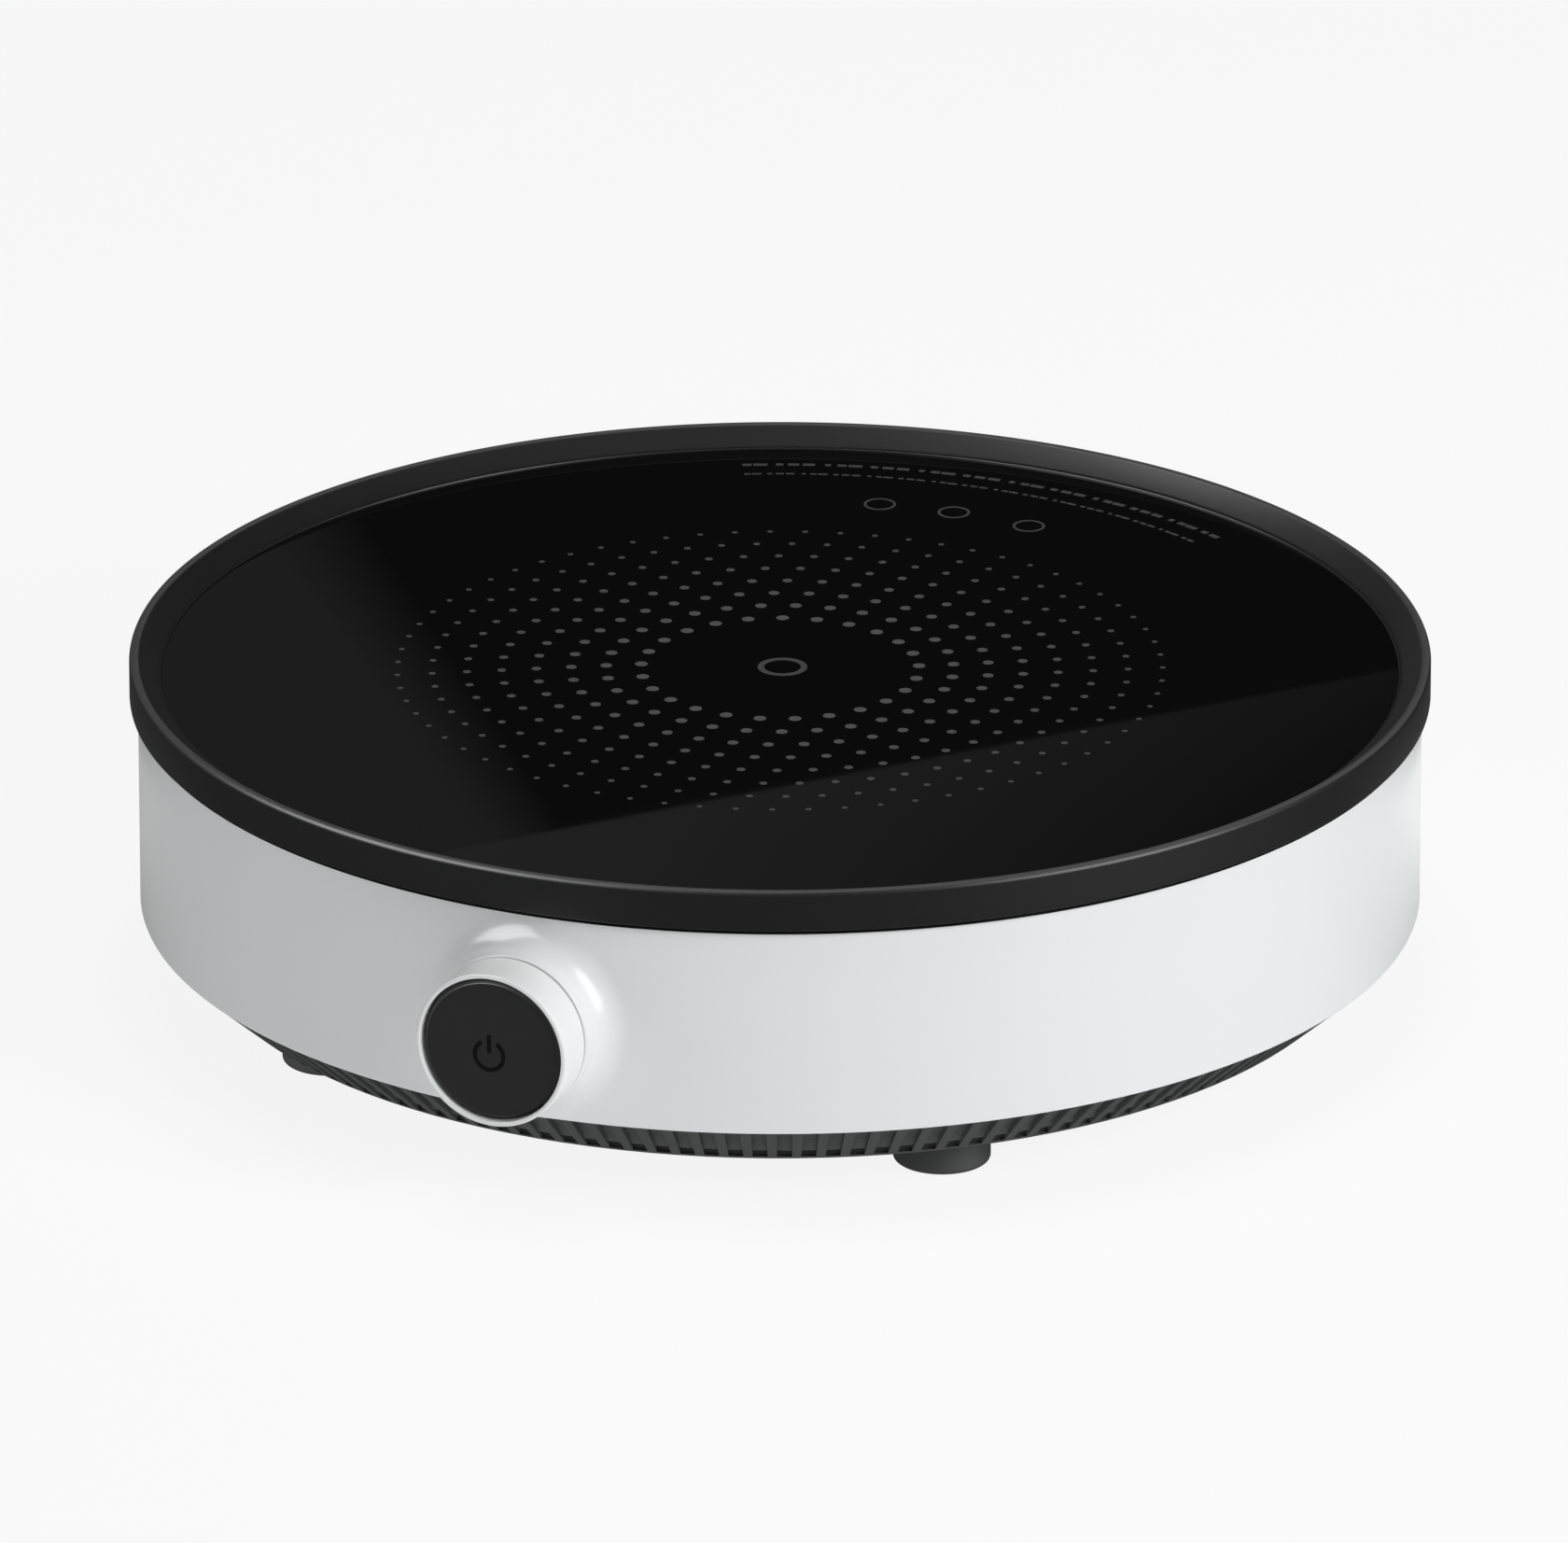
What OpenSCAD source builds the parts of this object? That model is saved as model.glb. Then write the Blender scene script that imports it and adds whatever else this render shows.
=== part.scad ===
// Round single-zone induction cooktop with one front control knob, in millimetres.
// The body's axis is Z, the counter it stands on is z = 0, and the knob faces -Y.

/* [Body] */
// Outer radius of the moulded white shell
shell_r = 130.3; // [127:0.1:136]
// Height of the shell's visible wall
shell_h = 43.5; // [43.4:0.1:52]
// Wall thickness of the shell
shell_wall = 2.3; // [1.8:0.1:3]
// Rounding of the shell's lower edge
shell_edge_r = 0.6; // [0.2:0.1:1]
// Height of each foot below the base
foot_h = 9.3; // [5:0.1:14]
// Radius of each foot
foot_r = 9.8; // [7:0.1:10.5]
// Distance of the feet from the body's axis
foot_circle_r = 101; // [95:0.5:102]
// Angle of each foot either side of the knob's line
foot_angle = 41.3; // [38:0.1:45]

/* [Vent ring] */
// Height of the sloping vent ring
vent_h = 10.4; // [8:0.1:14]
// Width of the sloping vent ring, seen from below
vent_w = 11.4; // [11:0.1:16]
// Number of air slots round the vent ring
slot_count = 156; // [96:1:160]
// Width of each air slot
slot_w = 3; // [2:0.1:3.2]
// Depth of the panels behind the ribs
rib_depth = 1.2; // [0.6:0.1:1.3]
// Share of the slope that the open slots take
slot_share = 0.45; // [0.3:0.01:0.6]
// Share of the slope left closed under the slots
rim_share = 0.07; // [0.04:0.01:0.15]
// Reach of the ramp from each slot up to the floor
slot_ramp = 4.2; // [3:0.1:5]
// Thickness of the sloping panels
vent_wall = 2.2; // [1.6:0.1:3]
// Thickness of the base's floor
floor_t = 2.2; // [1.8:0.1:3]

/* [Cooking surface] */
// Gap between the glass plate's edge and the shell
glass_gap = 0.4; // [0.3:0.1:0.6]
// Thickness of the glass plate
glass_t = 4; // [3:0.1:5]
// Thickness of the gasket under the glass
gasket_t = 1.2; // [0.8:0.1:2]
// Thickness of the trim ring's skirt
trim_wall = 1.5; // [1.2:0.1:2.4]
// Drop of the trim ring's skirt below the glass
trim_drop = 4.3; // [3:0.1:6]
// Rise of the trim ring's crest above the glass
trim_rise = 4.1; // [3:0.1:6]
// Width from the trim's outer wall to its inner lip
trim_w = 6.5; // [5.6:0.1:8]
// Rounding radius of the trim ring's crest
crest_r = 1.1; // [0.6:0.1:1.4]

/* [Knob] */
// Drop of the knob's axis below the trim ring
knob_drop = 23.3; // [22.4:0.1:23.4]
// Outer radius of the turning ring
knob_r = 16.1; // [15.6:0.1:16.6]
// Length of the turning ring
knob_len = 9.8; // [9.6:0.1:14]
// Outer radius of the fixed boss behind the ring
boss_r = 16.3; // [15.6:0.1:16.4]
// Length of the fixed boss in front of the shell
boss_len = 7.8; // [7:0.1:11]
// Radius of the hollow fillet that joins boss and shell
flare_r = 6; // [3:0.1:6]
// Gap between the boss and the turning ring
knob_gap = 0.4; // [0.3:0.1:0.6]
// Radius of the push button's face
button_r = 14.65; // [13.6:0.05:15]
// Travel of the push button
button_travel = 0.8; // [0.4:0.1:1]
// Radius of the hollow nose that the ring turns on
nose_r = 8; // [7.4:0.1:8.6]
// Radius of the button's stem
stem_r = 5.2; // [4:0.1:5.6]

/* [Induction coil] */
// Diameter of the coil's stranded wire
wire_d = 3.3; // [2.4:0.1:3.5]
// Distance between the coil's turns
coil_pitch = 3.6; // [3.55:0.05:3.7]
// Radius of the coil's innermost turn
coil_r = 20; // [19:0.5:22]
// Number of half turns in the coil
half_turns = 34; // [24:2:34]
// Thickness of the coil former's plate
former_t = 2.5; // [2:0.1:4]
// Radius of the coil former's plate
former_r = 87; // [86:0.5:88]
// Thickness of the ferrite bars
ferrite_t = 5; // [4:0.1:6]
// Thickness of the insulation sheet
sheet_t = 1.2; // [0.6:0.1:1.6]
// Space between the insulation sheet and the glass
sheet_gap = 1.8; // [1:0.1:3]

/* [Fan] */
// Outer radius of the fan's housing
fan_r = 40; // [36:0.5:42]
// Height of the fan's housing
fan_h = 25; // [20:0.5:28]
// Number of fan blades
blade_count = 9; // [5:1:11]
// Radius of the fan's shaft
shaft_r = 1; // [0.8:0.05:1.5]

/* [Electronics] */
// Thickness of the circuit boards
board_t = 1.6; // [1:0.1:2]
// Height of the main board's standoffs
standoff_h = 5; // [4:0.1:7]
// Number of fins on the heat sink
fin_count = 12; // [6:1:14]
// Height of the heat sink's fins
fin_h = 14; // [8:0.5:16]
// Height of the resonant capacitor
cap_h = 26; // [18:0.5:28]

/* [Cord outlet] */
// Height of the cord outlet above the shell's lower edge
outlet_rise = 15; // [14.5:0.5:24]
// Radius of the outlet's bore
outlet_bore_r = 3.5; // [2.5:0.1:4.5]

/* [Hidden] */
$fn = 96;

// Clearances
slide_fit = 0.1;
run_fit = 0.05;
seat_gap = 0.1;
loose_fit = 0.3;

// Heights of the stacked pieces
base_z = foot_h;
floor_z = base_z + floor_t;
wall_z = base_z + vent_h;
skirt_z = wall_z + shell_h;
glass_z = skirt_z + trim_drop;
glass_low_z = glass_z - glass_t;
flange_z = glass_low_z - gasket_t;
sheet_z = glass_low_z - sheet_gap - sheet_t;
coil_z = sheet_z - seat_gap - wire_d / 2;
former_top_z = coil_z - wire_d / 2 - seat_gap;
former_z = former_top_z - former_t;
board_z = floor_z + standoff_h;
board_top_z = board_z + board_t;
seam = 0.4;

// Radii of the body
shell_in_r = shell_r - shell_wall;
glass_r = shell_in_r - glass_gap;
flange_in_r = glass_r - 6.6;
flange_t = 2;
trim_gap = 0.2;
trim_skirt_r = shell_r + trim_gap;
trim_r = trim_skirt_r + trim_wall;
trim_in_r = trim_r - trim_w;
lip_t = 0.4;
spigot_r = shell_in_r - loose_fit;
spigot_t = 2.2;
spigot_z = wall_z + 4.3;

// Fasteners
post_circle_r = 104;
post_r = 4.5;
post_count = 6;
post_split_z = wall_z - 3;
post_top_z = flange_z - 4.3;
screw_r = 1.3;
screw_fit = 0.1;
screw_hole_r = 1.8;
screw_head_r = 3.1;
screw_head_h = 2.2;
head_pocket = 3;
thread_len = 16;

// Sloping side of the base: s runs up the slope, n runs in through its wall
vent_top_r = shell_r - loose_fit;
vent_low_r = vent_top_r - vent_w;
vent_dr = vent_w;
vent_dz = wall_z - seam - base_z;
vent_slope = norm([vent_dr, vent_dz]);
function slope(s, n) = [
    vent_low_r + s * vent_dr - n * vent_dz / vent_slope,
    base_z + s * vent_dz + n * vent_dr / vent_slope
];
vent_inner = rib_depth + vent_wall;

// Fan
fan_x = -50;
fan_y = 30;
fan_wall = 2.8;
fan_tip_gap = 1.2;
ear_z = floor_z + 6;
ear_t = 2.5;
ear_reach = 7;
ear_hole_r = fan_r + 3.5;
ear_w = 8;
fan_post_r = 3.4;
fan_hub_r = 14;
tube_r = 4;
tube_wall = 1.4;
hub_r = 13.4;
hub_wall = 1.1;
hub_top_z = floor_z + fan_h - 3;
hub_t = 1.5;
bearing_z = [floor_z + 2.6, floor_z + 15];
stator_z = [floor_z + 6, floor_z + 14.5];
stator_r = 10.8;
pole_t = 1.4;
yoke_r = 6;
magnet_in_r = stator_r + 0.4;

// Coil and its former
coil_turn = -60;
ferrite_count = 8;
ferrite_w = 10;
ferrite_in_r = 24;
ferrite_len = 54;
ear_reach_r = 5;
ear_circle_r = former_r + ear_reach_r;
coil_ear_r = 6;
coil_post_r = 4.2;
coil_ears = [90, 210, 330];
coil_screw_depth = 12;
former_window = [34, 72];
lead_bend_r = 5;
lead_hole_r = wire_d / 2 + 0.5;
holder_r = 9.5;
holder_plug_r = 7.8;

// Main board
board_left = -78;
board_right = 96;
board_front = -78;
board_step = -22;
board_back = 66;
board_inner = -2;
board_round_r = 114;
standoffs = [[-70, -28], [-56, -70], [10, -72], [88, -62], [90, -14], [90, 58], [4, 60]];
standoff_r = 3;

// Heat sink and what it cools
sink_x = 16;
sink_y = 4;
sink_len = 68;
sink_w = 56;
sink_t = 4;
sink_clear = 7;
sink_leg = 4;
fin_t = 1.4;
igbt_at = [22, 20];
igbt_size = [15.8, 20.8, 4.9];
rectifier_at = [48, 20];
rectifier_size = [30, 20, 4.6];

// Parts on the main board: corner or centre, then size
resonant_at = [46, -24];
resonant_size = [38, 18];
filter_size = [26, 15, 22];
filter_at = [
    ear_circle_r * cos(30) - coil_post_r - 3.5 - filter_size[0],
    -ear_circle_r * sin(30)
];
emi_at = [-14, -61];
emi_size = [26, 10, 18];
bulk_at = [[28, -34], [28, -52]];
bulk_r = 6.3;
bulk_h = 20;
choke_at = [-34, -47];
transformer_at = [-12, -44];
bobbin_size = [22, 10, 18];
core_size = [14, 18, 14];
fuse_at = [-46, -70];
fuse_len = 22;
fuse_r = 2.7;
terminal_at = [0, 36];
terminal_way_w = 8;
terminal_depth = 12;
terminal_h = 13;

// Knob: u is the distance from the body's axis, out along the knob's own axis
knob_z = skirt_z - knob_drop;
boss_u = shell_r + boss_len;
boss_wall = 2.5;
boss_bore_r = boss_r - boss_wall;
ring_u = boss_u + knob_gap;
ring_front_u = ring_u + knob_len;
ring_lip = 1;
button_inset = 0.7;
button_u = ring_front_u - button_inset;
cover_t = 1.6;
carrier_t = 1.4;
carrier_u = button_u - cover_t - carrier_t;
nose_u = carrier_u - button_travel - 0.2;
clip_t = 0.5;
clip_u = nose_u - 1.25;
groove_depth = 0.7;
clip_slack = 0.1;
web_u = clip_u - 0.25;
web_t = 2;
encoder_t = 0.7;
encoder_r = 13;
encoder_in_r = 9.2;
barrel_r = boss_bore_r - loose_fit;
barrel_wall = 2.5;
barrel_u = boss_u - seat_gap;
plate_t = 2.5;
plate_u = shell_in_r - 9 - plate_t;
plate_w = 50;
plate_h = 32;
spring_hole_r = 6.5;
screw_x = 20;
screw_y = 11;
barrel_boss_r = 3.2;
panel_u = plate_u - seat_gap - board_t;
collar_r = 9.5;
collar_t = 1.5;
collar_u = barrel_u - barrel_wall - seat_gap - collar_t;
switch_w = 6.2;
switch_t = 3.5;
switch_u = panel_u + board_t;
plunger_r = 1.75;
plunger_out = 1.3;
plunger_in = 1.1;
stem_u = switch_u + switch_t + plunger_out;
spring_r = 8;
spring_wire_r = 0.4;

// Cord outlet
outlet_z = wall_z + outlet_rise;
gland_neck_r = outlet_bore_r + 2.5;
gland_flange_r = gland_neck_r + 2.5;
gland_flange_t = 3;
gland_in = 12;
nut_t = 4;

// Points of an arc about c, radius r, from angle a to angle b, in n steps
function arc(c, r, a, b, n = 8) =
    [for (i = [0:n]) c + r * [cos(a + (b - a) * i / n), sin(a + (b - a) * i / n)]];

// Lays a piece drawn up +Z along the knob's axis
module along_knob() {
    translate([0, 0, knob_z]) rotate([90, 0, 0]) children();
}

// A turned piece on the knob's axis from its outline of [radius, u] points
module knob_turned(outline) {
    along_knob() rotate_extrude() polygon(outline);
}

// A ring or tube from one height to another
module tube(outer, inner, low, high) {
    rotate_extrude() polygon([[inner, low], [outer, low], [outer, high], [inner, high]]);
}

// A rod from one height to another
module rod(r, low, high) {
    translate([0, 0, low]) cylinder(r = r, h = high - low);
}

// Copies the children round the Z axis, count times, from a first angle
module around(count, first = 0) {
    for (i = [0:count - 1]) rotate([0, 0, first + 360 * i / count]) children();
}

// A block from its low corner and its size
module block(corner, size) {
    translate(corner) cube(size);
}

// A pan-head screw pointing down from the seat of its head
module screw(length, head = screw_head_r) {
    rod(head, 0, screw_head_h);
    rod(screw_r - screw_fit, -length, 0);
}

// The places of the coil former's ears, and of the fan's
module at_coil_ears() {
    for (a = coil_ears) rotate([0, 0, a]) translate([ear_circle_r, 0, 0]) children();
}

module at_fan_ears() {
    translate([fan_x, fan_y, 0]) around(3, 60) translate([ear_hole_r, 0, 0]) children();
}

// ---------------------------------------------------------------- shell

shell_outline = concat(
    [[shell_in_r, wall_z]],
    arc([shell_r - shell_edge_r, wall_z + shell_edge_r], shell_edge_r, -90, 0, 5),
    [
        [shell_r, glass_z - trim_gap],
        [shell_in_r, glass_z - trim_gap],
        [shell_in_r, flange_z],
        [flange_in_r, flange_z],
        [flange_in_r, flange_z - flange_t],
        [shell_in_r, flange_z - flange_t - 4]
    ]
);

// The hollow fillet: a ball of flare_r rolls round in the corner of boss and wall.
// Each cross-section is its arc, closed through points sunk in the two walls.
flare_sink = 1;
flare_steps = 7;
flare_turns = 60;
flare_bite = 0.12;
flare_boss = boss_r + flare_r - flare_bite;
flare_wall = shell_r + flare_r - flare_bite;
function flare_ball(a) =
    let (x = flare_boss * cos(a))
    [x, -sqrt(pow(flare_wall, 2) - x * x), flare_boss * sin(a)];
function flare_section(a) =
    let (
        c = flare_ball(a),
        to_boss = [-cos(a), 0, -sin(a)],
        to_wall = -[c[0], c[1], 0] / flare_wall,
        w = acos(to_boss * to_wall),
        in_boss = (boss_r - flare_sink) * [cos(a), 0, sin(a)],
        in_wall = (shell_r - flare_sink) / flare_wall * [c[0], c[1], 0]
    )
    concat(
        [for (i = [0:flare_steps])
            c + flare_r * (sin(w - w * i / flare_steps) * to_boss
            + sin(w * i / flare_steps) * to_wall) / sin(w)],
        [
            [in_wall[0], in_wall[1], c[2]],
            [in_boss[0], in_wall[1], in_boss[2]],
            [in_boss[0], c[1], in_boss[2]]
        ]
    );

module knob_flare() {
    m = flare_steps + 4;
    n = flare_turns;
    points = [for (k = [0:n - 1]) each flare_section(360 * (k + 0.5) / n)];
    faces = [for (k = [0:n - 1], i = [0:m - 1])
        [k * m + i, (k + 1) % n * m + i, (k + 1) % n * m + (i + 1) % m, k * m + (i + 1) % m]];
    difference() {
        translate([0, 0, knob_z]) polyhedron(points, faces);
        rod(2 * shell_r, 0, wall_z);
    }
}

module shell_post() {
    rod(post_r, post_split_z, post_top_z);
    gusset_z = spigot_z + 0.6;
    block([post_r - 1, -1, gusset_z], [shell_in_r - post_circle_r - post_r + 2, 2, post_top_z - gusset_z]);
}

module barrel_fixings(r, low, high) {
    for (x = [-screw_x, screw_x], y = [-screw_y, screw_y])
        along_knob() translate([x, y, 0]) rod(r, low, high);
}

module outer_shell() {
    color("#e9eaeb")
    difference() {
        union() {
            rotate_extrude() polygon(shell_outline);
            along_knob() rod(boss_r, shell_in_r + 1, boss_u);
            knob_flare();
            barrel_fixings(barrel_boss_r, plate_u + plate_t, shell_in_r - 0.5);
            around(post_count) translate([post_circle_r, 0, 0]) shell_post();
        }
        along_knob() rod(boss_bore_r, plate_u, boss_u + 1);
        barrel_fixings(screw_r, plate_u + plate_t - 1, plate_u + plate_t + 6);
        around(post_count) translate([post_circle_r, 0, 0])
            rod(screw_r, post_split_z - 1, post_split_z + thread_len);
        translate([0, 0, outlet_z]) rotate([-90, 0, 0])
            rod(gland_neck_r + slide_fit, post_circle_r, shell_r + 2);
    }
}

// ---------------------------------------------------------------- cooking surface

// The crest's arc ends where a straight slope to the inner lip leaves it
crest = [trim_r - crest_r, glass_z + trim_rise - crest_r];
lip = [trim_in_r, glass_z + lip_t];
crest_end = 90 + atan2(crest[1] - lip[1], crest[0] - lip[0]) + asin(crest_r / norm(crest - lip));

module trim_ring() {
    color("#232425")
    rotate_extrude() polygon(concat(
        [
            [trim_in_r, glass_z],
            [trim_skirt_r, glass_z],
            [trim_skirt_r, skirt_z],
            [trim_r, skirt_z]
        ],
        arc(crest, crest_r, 0, crest_end, 10),
        [lip]
    ));
}

// The plate's edge is ground down to a facet under the trim ring's lip
module glass_plate() {
    bevel = 0.3;
    facet_drop = 0.5;
    color("#0d0d0e")
    rotate_extrude() polygon([
        [0, glass_low_z], [glass_r - bevel, glass_low_z], [glass_r, glass_low_z + bevel],
        [glass_r, glass_z - facet_drop], [trim_in_r - slide_fit, glass_z], [0, glass_z]
    ]);
}

module glass_gasket() {
    color("#77787a") tube(glass_r - 0.6, glass_r - 5, flange_z, glass_low_z);
}

// ---------------------------------------------------------------- base

// Where the inner face of the sloping wall meets the spigot and the floor
spigot_in_r = spigot_r - spigot_t;
spigot_foot_s = (spigot_in_r - slope(0, vent_inner)[0]) / vent_dr;
floor_edge_s = (floor_z - slope(0, vent_inner)[1]) / vent_dz;

base_outline = [
    [0, base_z],
    slope(0, 0),
    slope(1, 0),
    [spigot_r, slope(1, 0)[1]],
    [spigot_r, spigot_z],
    [spigot_in_r, spigot_z],
    slope(spigot_foot_s, vent_inner),
    slope(floor_edge_s, vent_inner),
    [0, floor_z]
];

// One panel's recess between two ribs, with the open slot in its lower part. A closed rim
// runs under the slots, and a short ramp leads from it up to the floor.
rim_top = slope(rim_share, 0);
ramp_rise = (floor_z - rim_top[1]) / (rim_top[0] - vent_low_r + slot_ramp);
function ramp(r) = [r, rim_top[1] + (rim_top[0] - r) * ramp_rise];
slot_outline = [
    ramp(vent_top_r + 1),
    ramp(vent_low_r - slot_ramp - 2),
    slope(slot_share, vent_inner + 2),
    slope(slot_share, rib_depth),
    slope(1.05, rib_depth),
    slope(1.05, -2)
];

module vent_slot() {
    rotate([90, 0, 0]) translate([0, 0, -slot_w / 2]) linear_extrude(slot_w) polygon(slot_outline);
}

// Intake grille: rings of slots under the fan, parted by radial bars
grille_rings = 5;
grille_pitch = 4.6;
grille_slot = 2.8;
grille_in_r = 14.5;
grille_bars = 6;
module intake_grille() {
    translate([fan_x, fan_y, base_z - 1]) linear_extrude(floor_t + 2) difference() {
        for (i = [0:grille_rings - 1]) difference() {
            circle(grille_in_r + i * grille_pitch + grille_slot);
            circle(grille_in_r + i * grille_pitch);
        }
        around(grille_bars, 15) translate([0, -1.5]) square([fan_r, 3]);
    }
}

module foot_places() {
    for (side = [0, 180], a = [-foot_angle, foot_angle])
        rotate([0, 0, side - 90 + a]) translate([foot_circle_r, 0, 0]) children();
}

module base_pan() {
    stem_hole_r = 3.1;
    color("#3a3b3c")
    difference() {
        union() {
            rotate_extrude() polygon(base_outline);
            around(post_count) translate([post_circle_r, 0, 0]) rod(post_r, base_z, post_split_z);
            for (p = standoffs) translate(p) rod(standoff_r, floor_z - 1, board_z);
            at_coil_ears() rod(coil_post_r, floor_z - 1, former_z);
            at_fan_ears() rod(fan_post_r, floor_z - 1, ear_z);
        }
        around(slot_count) vent_slot();
        intake_grille();
        foot_places() rod(stem_hole_r, base_z - 1, floor_z + 1);
        around(post_count) translate([post_circle_r, 0, 0]) {
            rod(screw_hole_r, base_z - 1, post_split_z + 1);
            rod(screw_head_r + 0.4, base_z - 1, base_z + head_pocket);
        }
        for (p = standoffs) translate(p) rod(screw_r, floor_z, board_z + 1);
        at_coil_ears() rod(screw_r, former_z - coil_screw_depth, former_z + 1);
        at_fan_ears() rod(screw_r, floor_z, ear_z + 1);
    }
}

module foot() {
    edge = 1;
    stem = 3;
    barb = 3.9;
    color("#343536")
    rotate_extrude() polygon(concat(
        [[0, 0]],
        arc([foot_r - edge, edge], edge, -90, 0, 5),
        [
            [foot_r, base_z],
            [stem, base_z],
            [stem, floor_z + seat_gap],
            [barb, floor_z + seat_gap],
            [stem, floor_z + 1.8],
            [0, floor_z + 1.8]
        ]
    ));
}

module foot_at(side, a) {
    rotate([0, 0, side - 90 + a]) translate([foot_circle_r, 0, 0]) foot();
}

module base_screws() {
    color("#9a9c9e")
    around(post_count) translate([post_circle_r, 0, base_z + head_pocket]) rotate([180, 0, 0])
        screw(post_split_z + thread_len - 2 - base_z - head_pocket);
}

// ---------------------------------------------------------------- cord outlet

module cord_gland() {
    color("#1d1e1f")
    difference() {
        translate([0, 0, outlet_z]) rotate([-90, 0, 0]) difference() {
            union() {
                rod(gland_neck_r, shell_r - gland_in, shell_r + 1);
                rod(gland_flange_r, shell_r - 1.2, shell_r + gland_flange_t);
            }
            rod(outlet_bore_r, 0, 2 * shell_r);
        }
        difference() {
            rod(shell_r + run_fit, 0, glass_z);
            translate([0, 0, outlet_z]) rotate([-90, 0, 0]) rod(gland_neck_r, 0, shell_r + 2);
        }
    }
}

module gland_nut() {
    color("#1d1e1f")
    translate([0, 0, outlet_z]) rotate([-90, 0, 0]) difference() {
        translate([0, 0, shell_in_r - nut_t - 0.5]) cylinder(r = gland_neck_r + 3.4, h = nut_t, $fn = 6);
        rod(gland_neck_r + slide_fit, 0, shell_r);
    }
}

// ---------------------------------------------------------------- induction coil

module insulation_sheet() {
    color("#d9d4c6") tube(former_r + 0.5, holder_r + 1.5, sheet_z, sheet_z + sheet_t);
}

// Half turns whose centres alternate between two points, so that the wire winds outwards
module coil_winding() {
    color("#b5713f")
    rotate([0, 0, coil_turn]) for (i = [0:half_turns - 1])
        translate([i % 2 * coil_pitch / 2, 0, coil_z]) rotate([0, 0, i % 2 * 180])
            rotate_extrude(angle = 180) translate([coil_r + i * coil_pitch / 2, 0]) circle(d = wire_d);
}
coil_end_r = coil_r + half_turns * coil_pitch / 2;

// A lead from one end of the wire: a bend down, then straight to its lug on the board
module coil_lead(r, way) {
    lug_t = 1.5;
    rotate([0, 0, coil_turn]) translate([r, 0, 0]) mirror([0, way < 0 ? 1 : 0, 0]) {
        translate([0, 0, coil_z - lead_bend_r]) rotate([90, 0, 90])
            rotate_extrude(angle = 90) translate([lead_bend_r, 0]) circle(d = wire_d);
        translate([0, lead_bend_r, 0]) {
            rod(wire_d / 2, board_top_z + lug_t, coil_z - lead_bend_r);
            block([-3.5, -3.5, board_top_z], [7, 7, lug_t]);
        }
    }
}

module coil_leads() {
    color("#8c2f24") {
        coil_lead(coil_r, -1);
        coil_lead(coil_end_r, 1);
    }
}

module lead_hole(r, way) {
    reach = lead_bend_r / 2;
    rotate([0, 0, coil_turn]) translate([r, 0, 0]) {
        translate([0, way * reach, 0]) rod(lead_hole_r, former_z - 1, former_top_z + 1);
        translate([0, way * lead_bend_r, 0]) rod(lead_hole_r, former_z - 1, former_top_z + 1);
        translate([0, way * (reach + lead_bend_r) / 2, (former_z + former_top_z) / 2])
            cube([2 * lead_hole_r, reach, former_t + 2], center = true);
    }
}

module ferrite_places() {
    around(ferrite_count, coil_turn + 180 / ferrite_count) children();
}

module coil_former() {
    rail_t = 1.2;
    rail_h = 3;
    color("#2c2d2f")
    difference() {
        union() {
            rod(former_r, former_z, former_top_z);
            at_coil_ears() rod(coil_ear_r, former_z, former_top_z);
            ferrite_places() for (side = [-1, 1])
                translate([0, side * (ferrite_w / 2 + seat_gap + rail_t / 2), 0])
                    block(
                        [ferrite_in_r, -rail_t / 2, former_z - rail_h],
                        [ferrite_len, rail_t, rail_h + 1]
                    );
        }
        rod(holder_plug_r + slide_fit, former_z - 1, former_top_z + 1);
        around(ferrite_count, coil_turn - 8) rotate_extrude(angle = 16)
            translate([former_window[0], former_z - 1])
                square([former_window[1] - former_window[0], former_t + 2]);
        lead_hole(coil_r, -1);
        lead_hole(coil_end_r, 1);
        at_coil_ears() rod(screw_hole_r, former_z - 1, former_top_z + 1);
    }
}

module ferrite_bars() {
    color("#3b3533")
    ferrite_places() block(
        [ferrite_in_r, -ferrite_w / 2, former_z - ferrite_t],
        [ferrite_len, ferrite_w, ferrite_t]
    );
}

module coil_screws() {
    color("#9a9c9e")
    at_coil_ears() translate([0, 0, former_top_z]) screw(former_t + coil_screw_depth - 3);
}

thermistor_t = 0.8;
module sensor_holder() {
    color("#b9b3a6") {
        rod(holder_r, former_top_z, glass_low_z - seat_gap - thermistor_t);
        rod(holder_plug_r, former_z, former_top_z);
    }
}

module thermistor() {
    color("#33302c") rod(3, glass_low_z - seat_gap - thermistor_t, glass_low_z - seat_gap);
}

// ---------------------------------------------------------------- main board

module board_outline() {
    intersection() {
        circle(board_round_r);
        union() {
            translate([board_left, board_front])
                square([board_right - board_left, board_step - board_front]);
            translate([board_inner, board_front])
                square([board_right - board_inner, board_back - board_front]);
        }
    }
}

module sink_screw_places() {
    for (x = [6, sink_len - 6], y = [sink_leg / 2, sink_w - sink_leg / 2])
        translate([sink_x + x, sink_y + y, 0]) children();
}

module main_board() {
    color("#2f6b3f")
    translate([0, 0, board_z]) linear_extrude(board_t) difference() {
        board_outline();
        for (p = standoffs) translate(p) circle(screw_hole_r);
        sink_screw_places() circle(screw_hole_r);
        for (a = coil_ears) rotate([0, 0, a]) translate([ear_circle_r, 0]) circle(coil_post_r + 1.5);
    }
}

module board_screws() {
    color("#9a9c9e")
    for (p = standoffs) translate([p[0], p[1], board_top_z]) screw(board_t + 4, 2.7);
}

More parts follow.
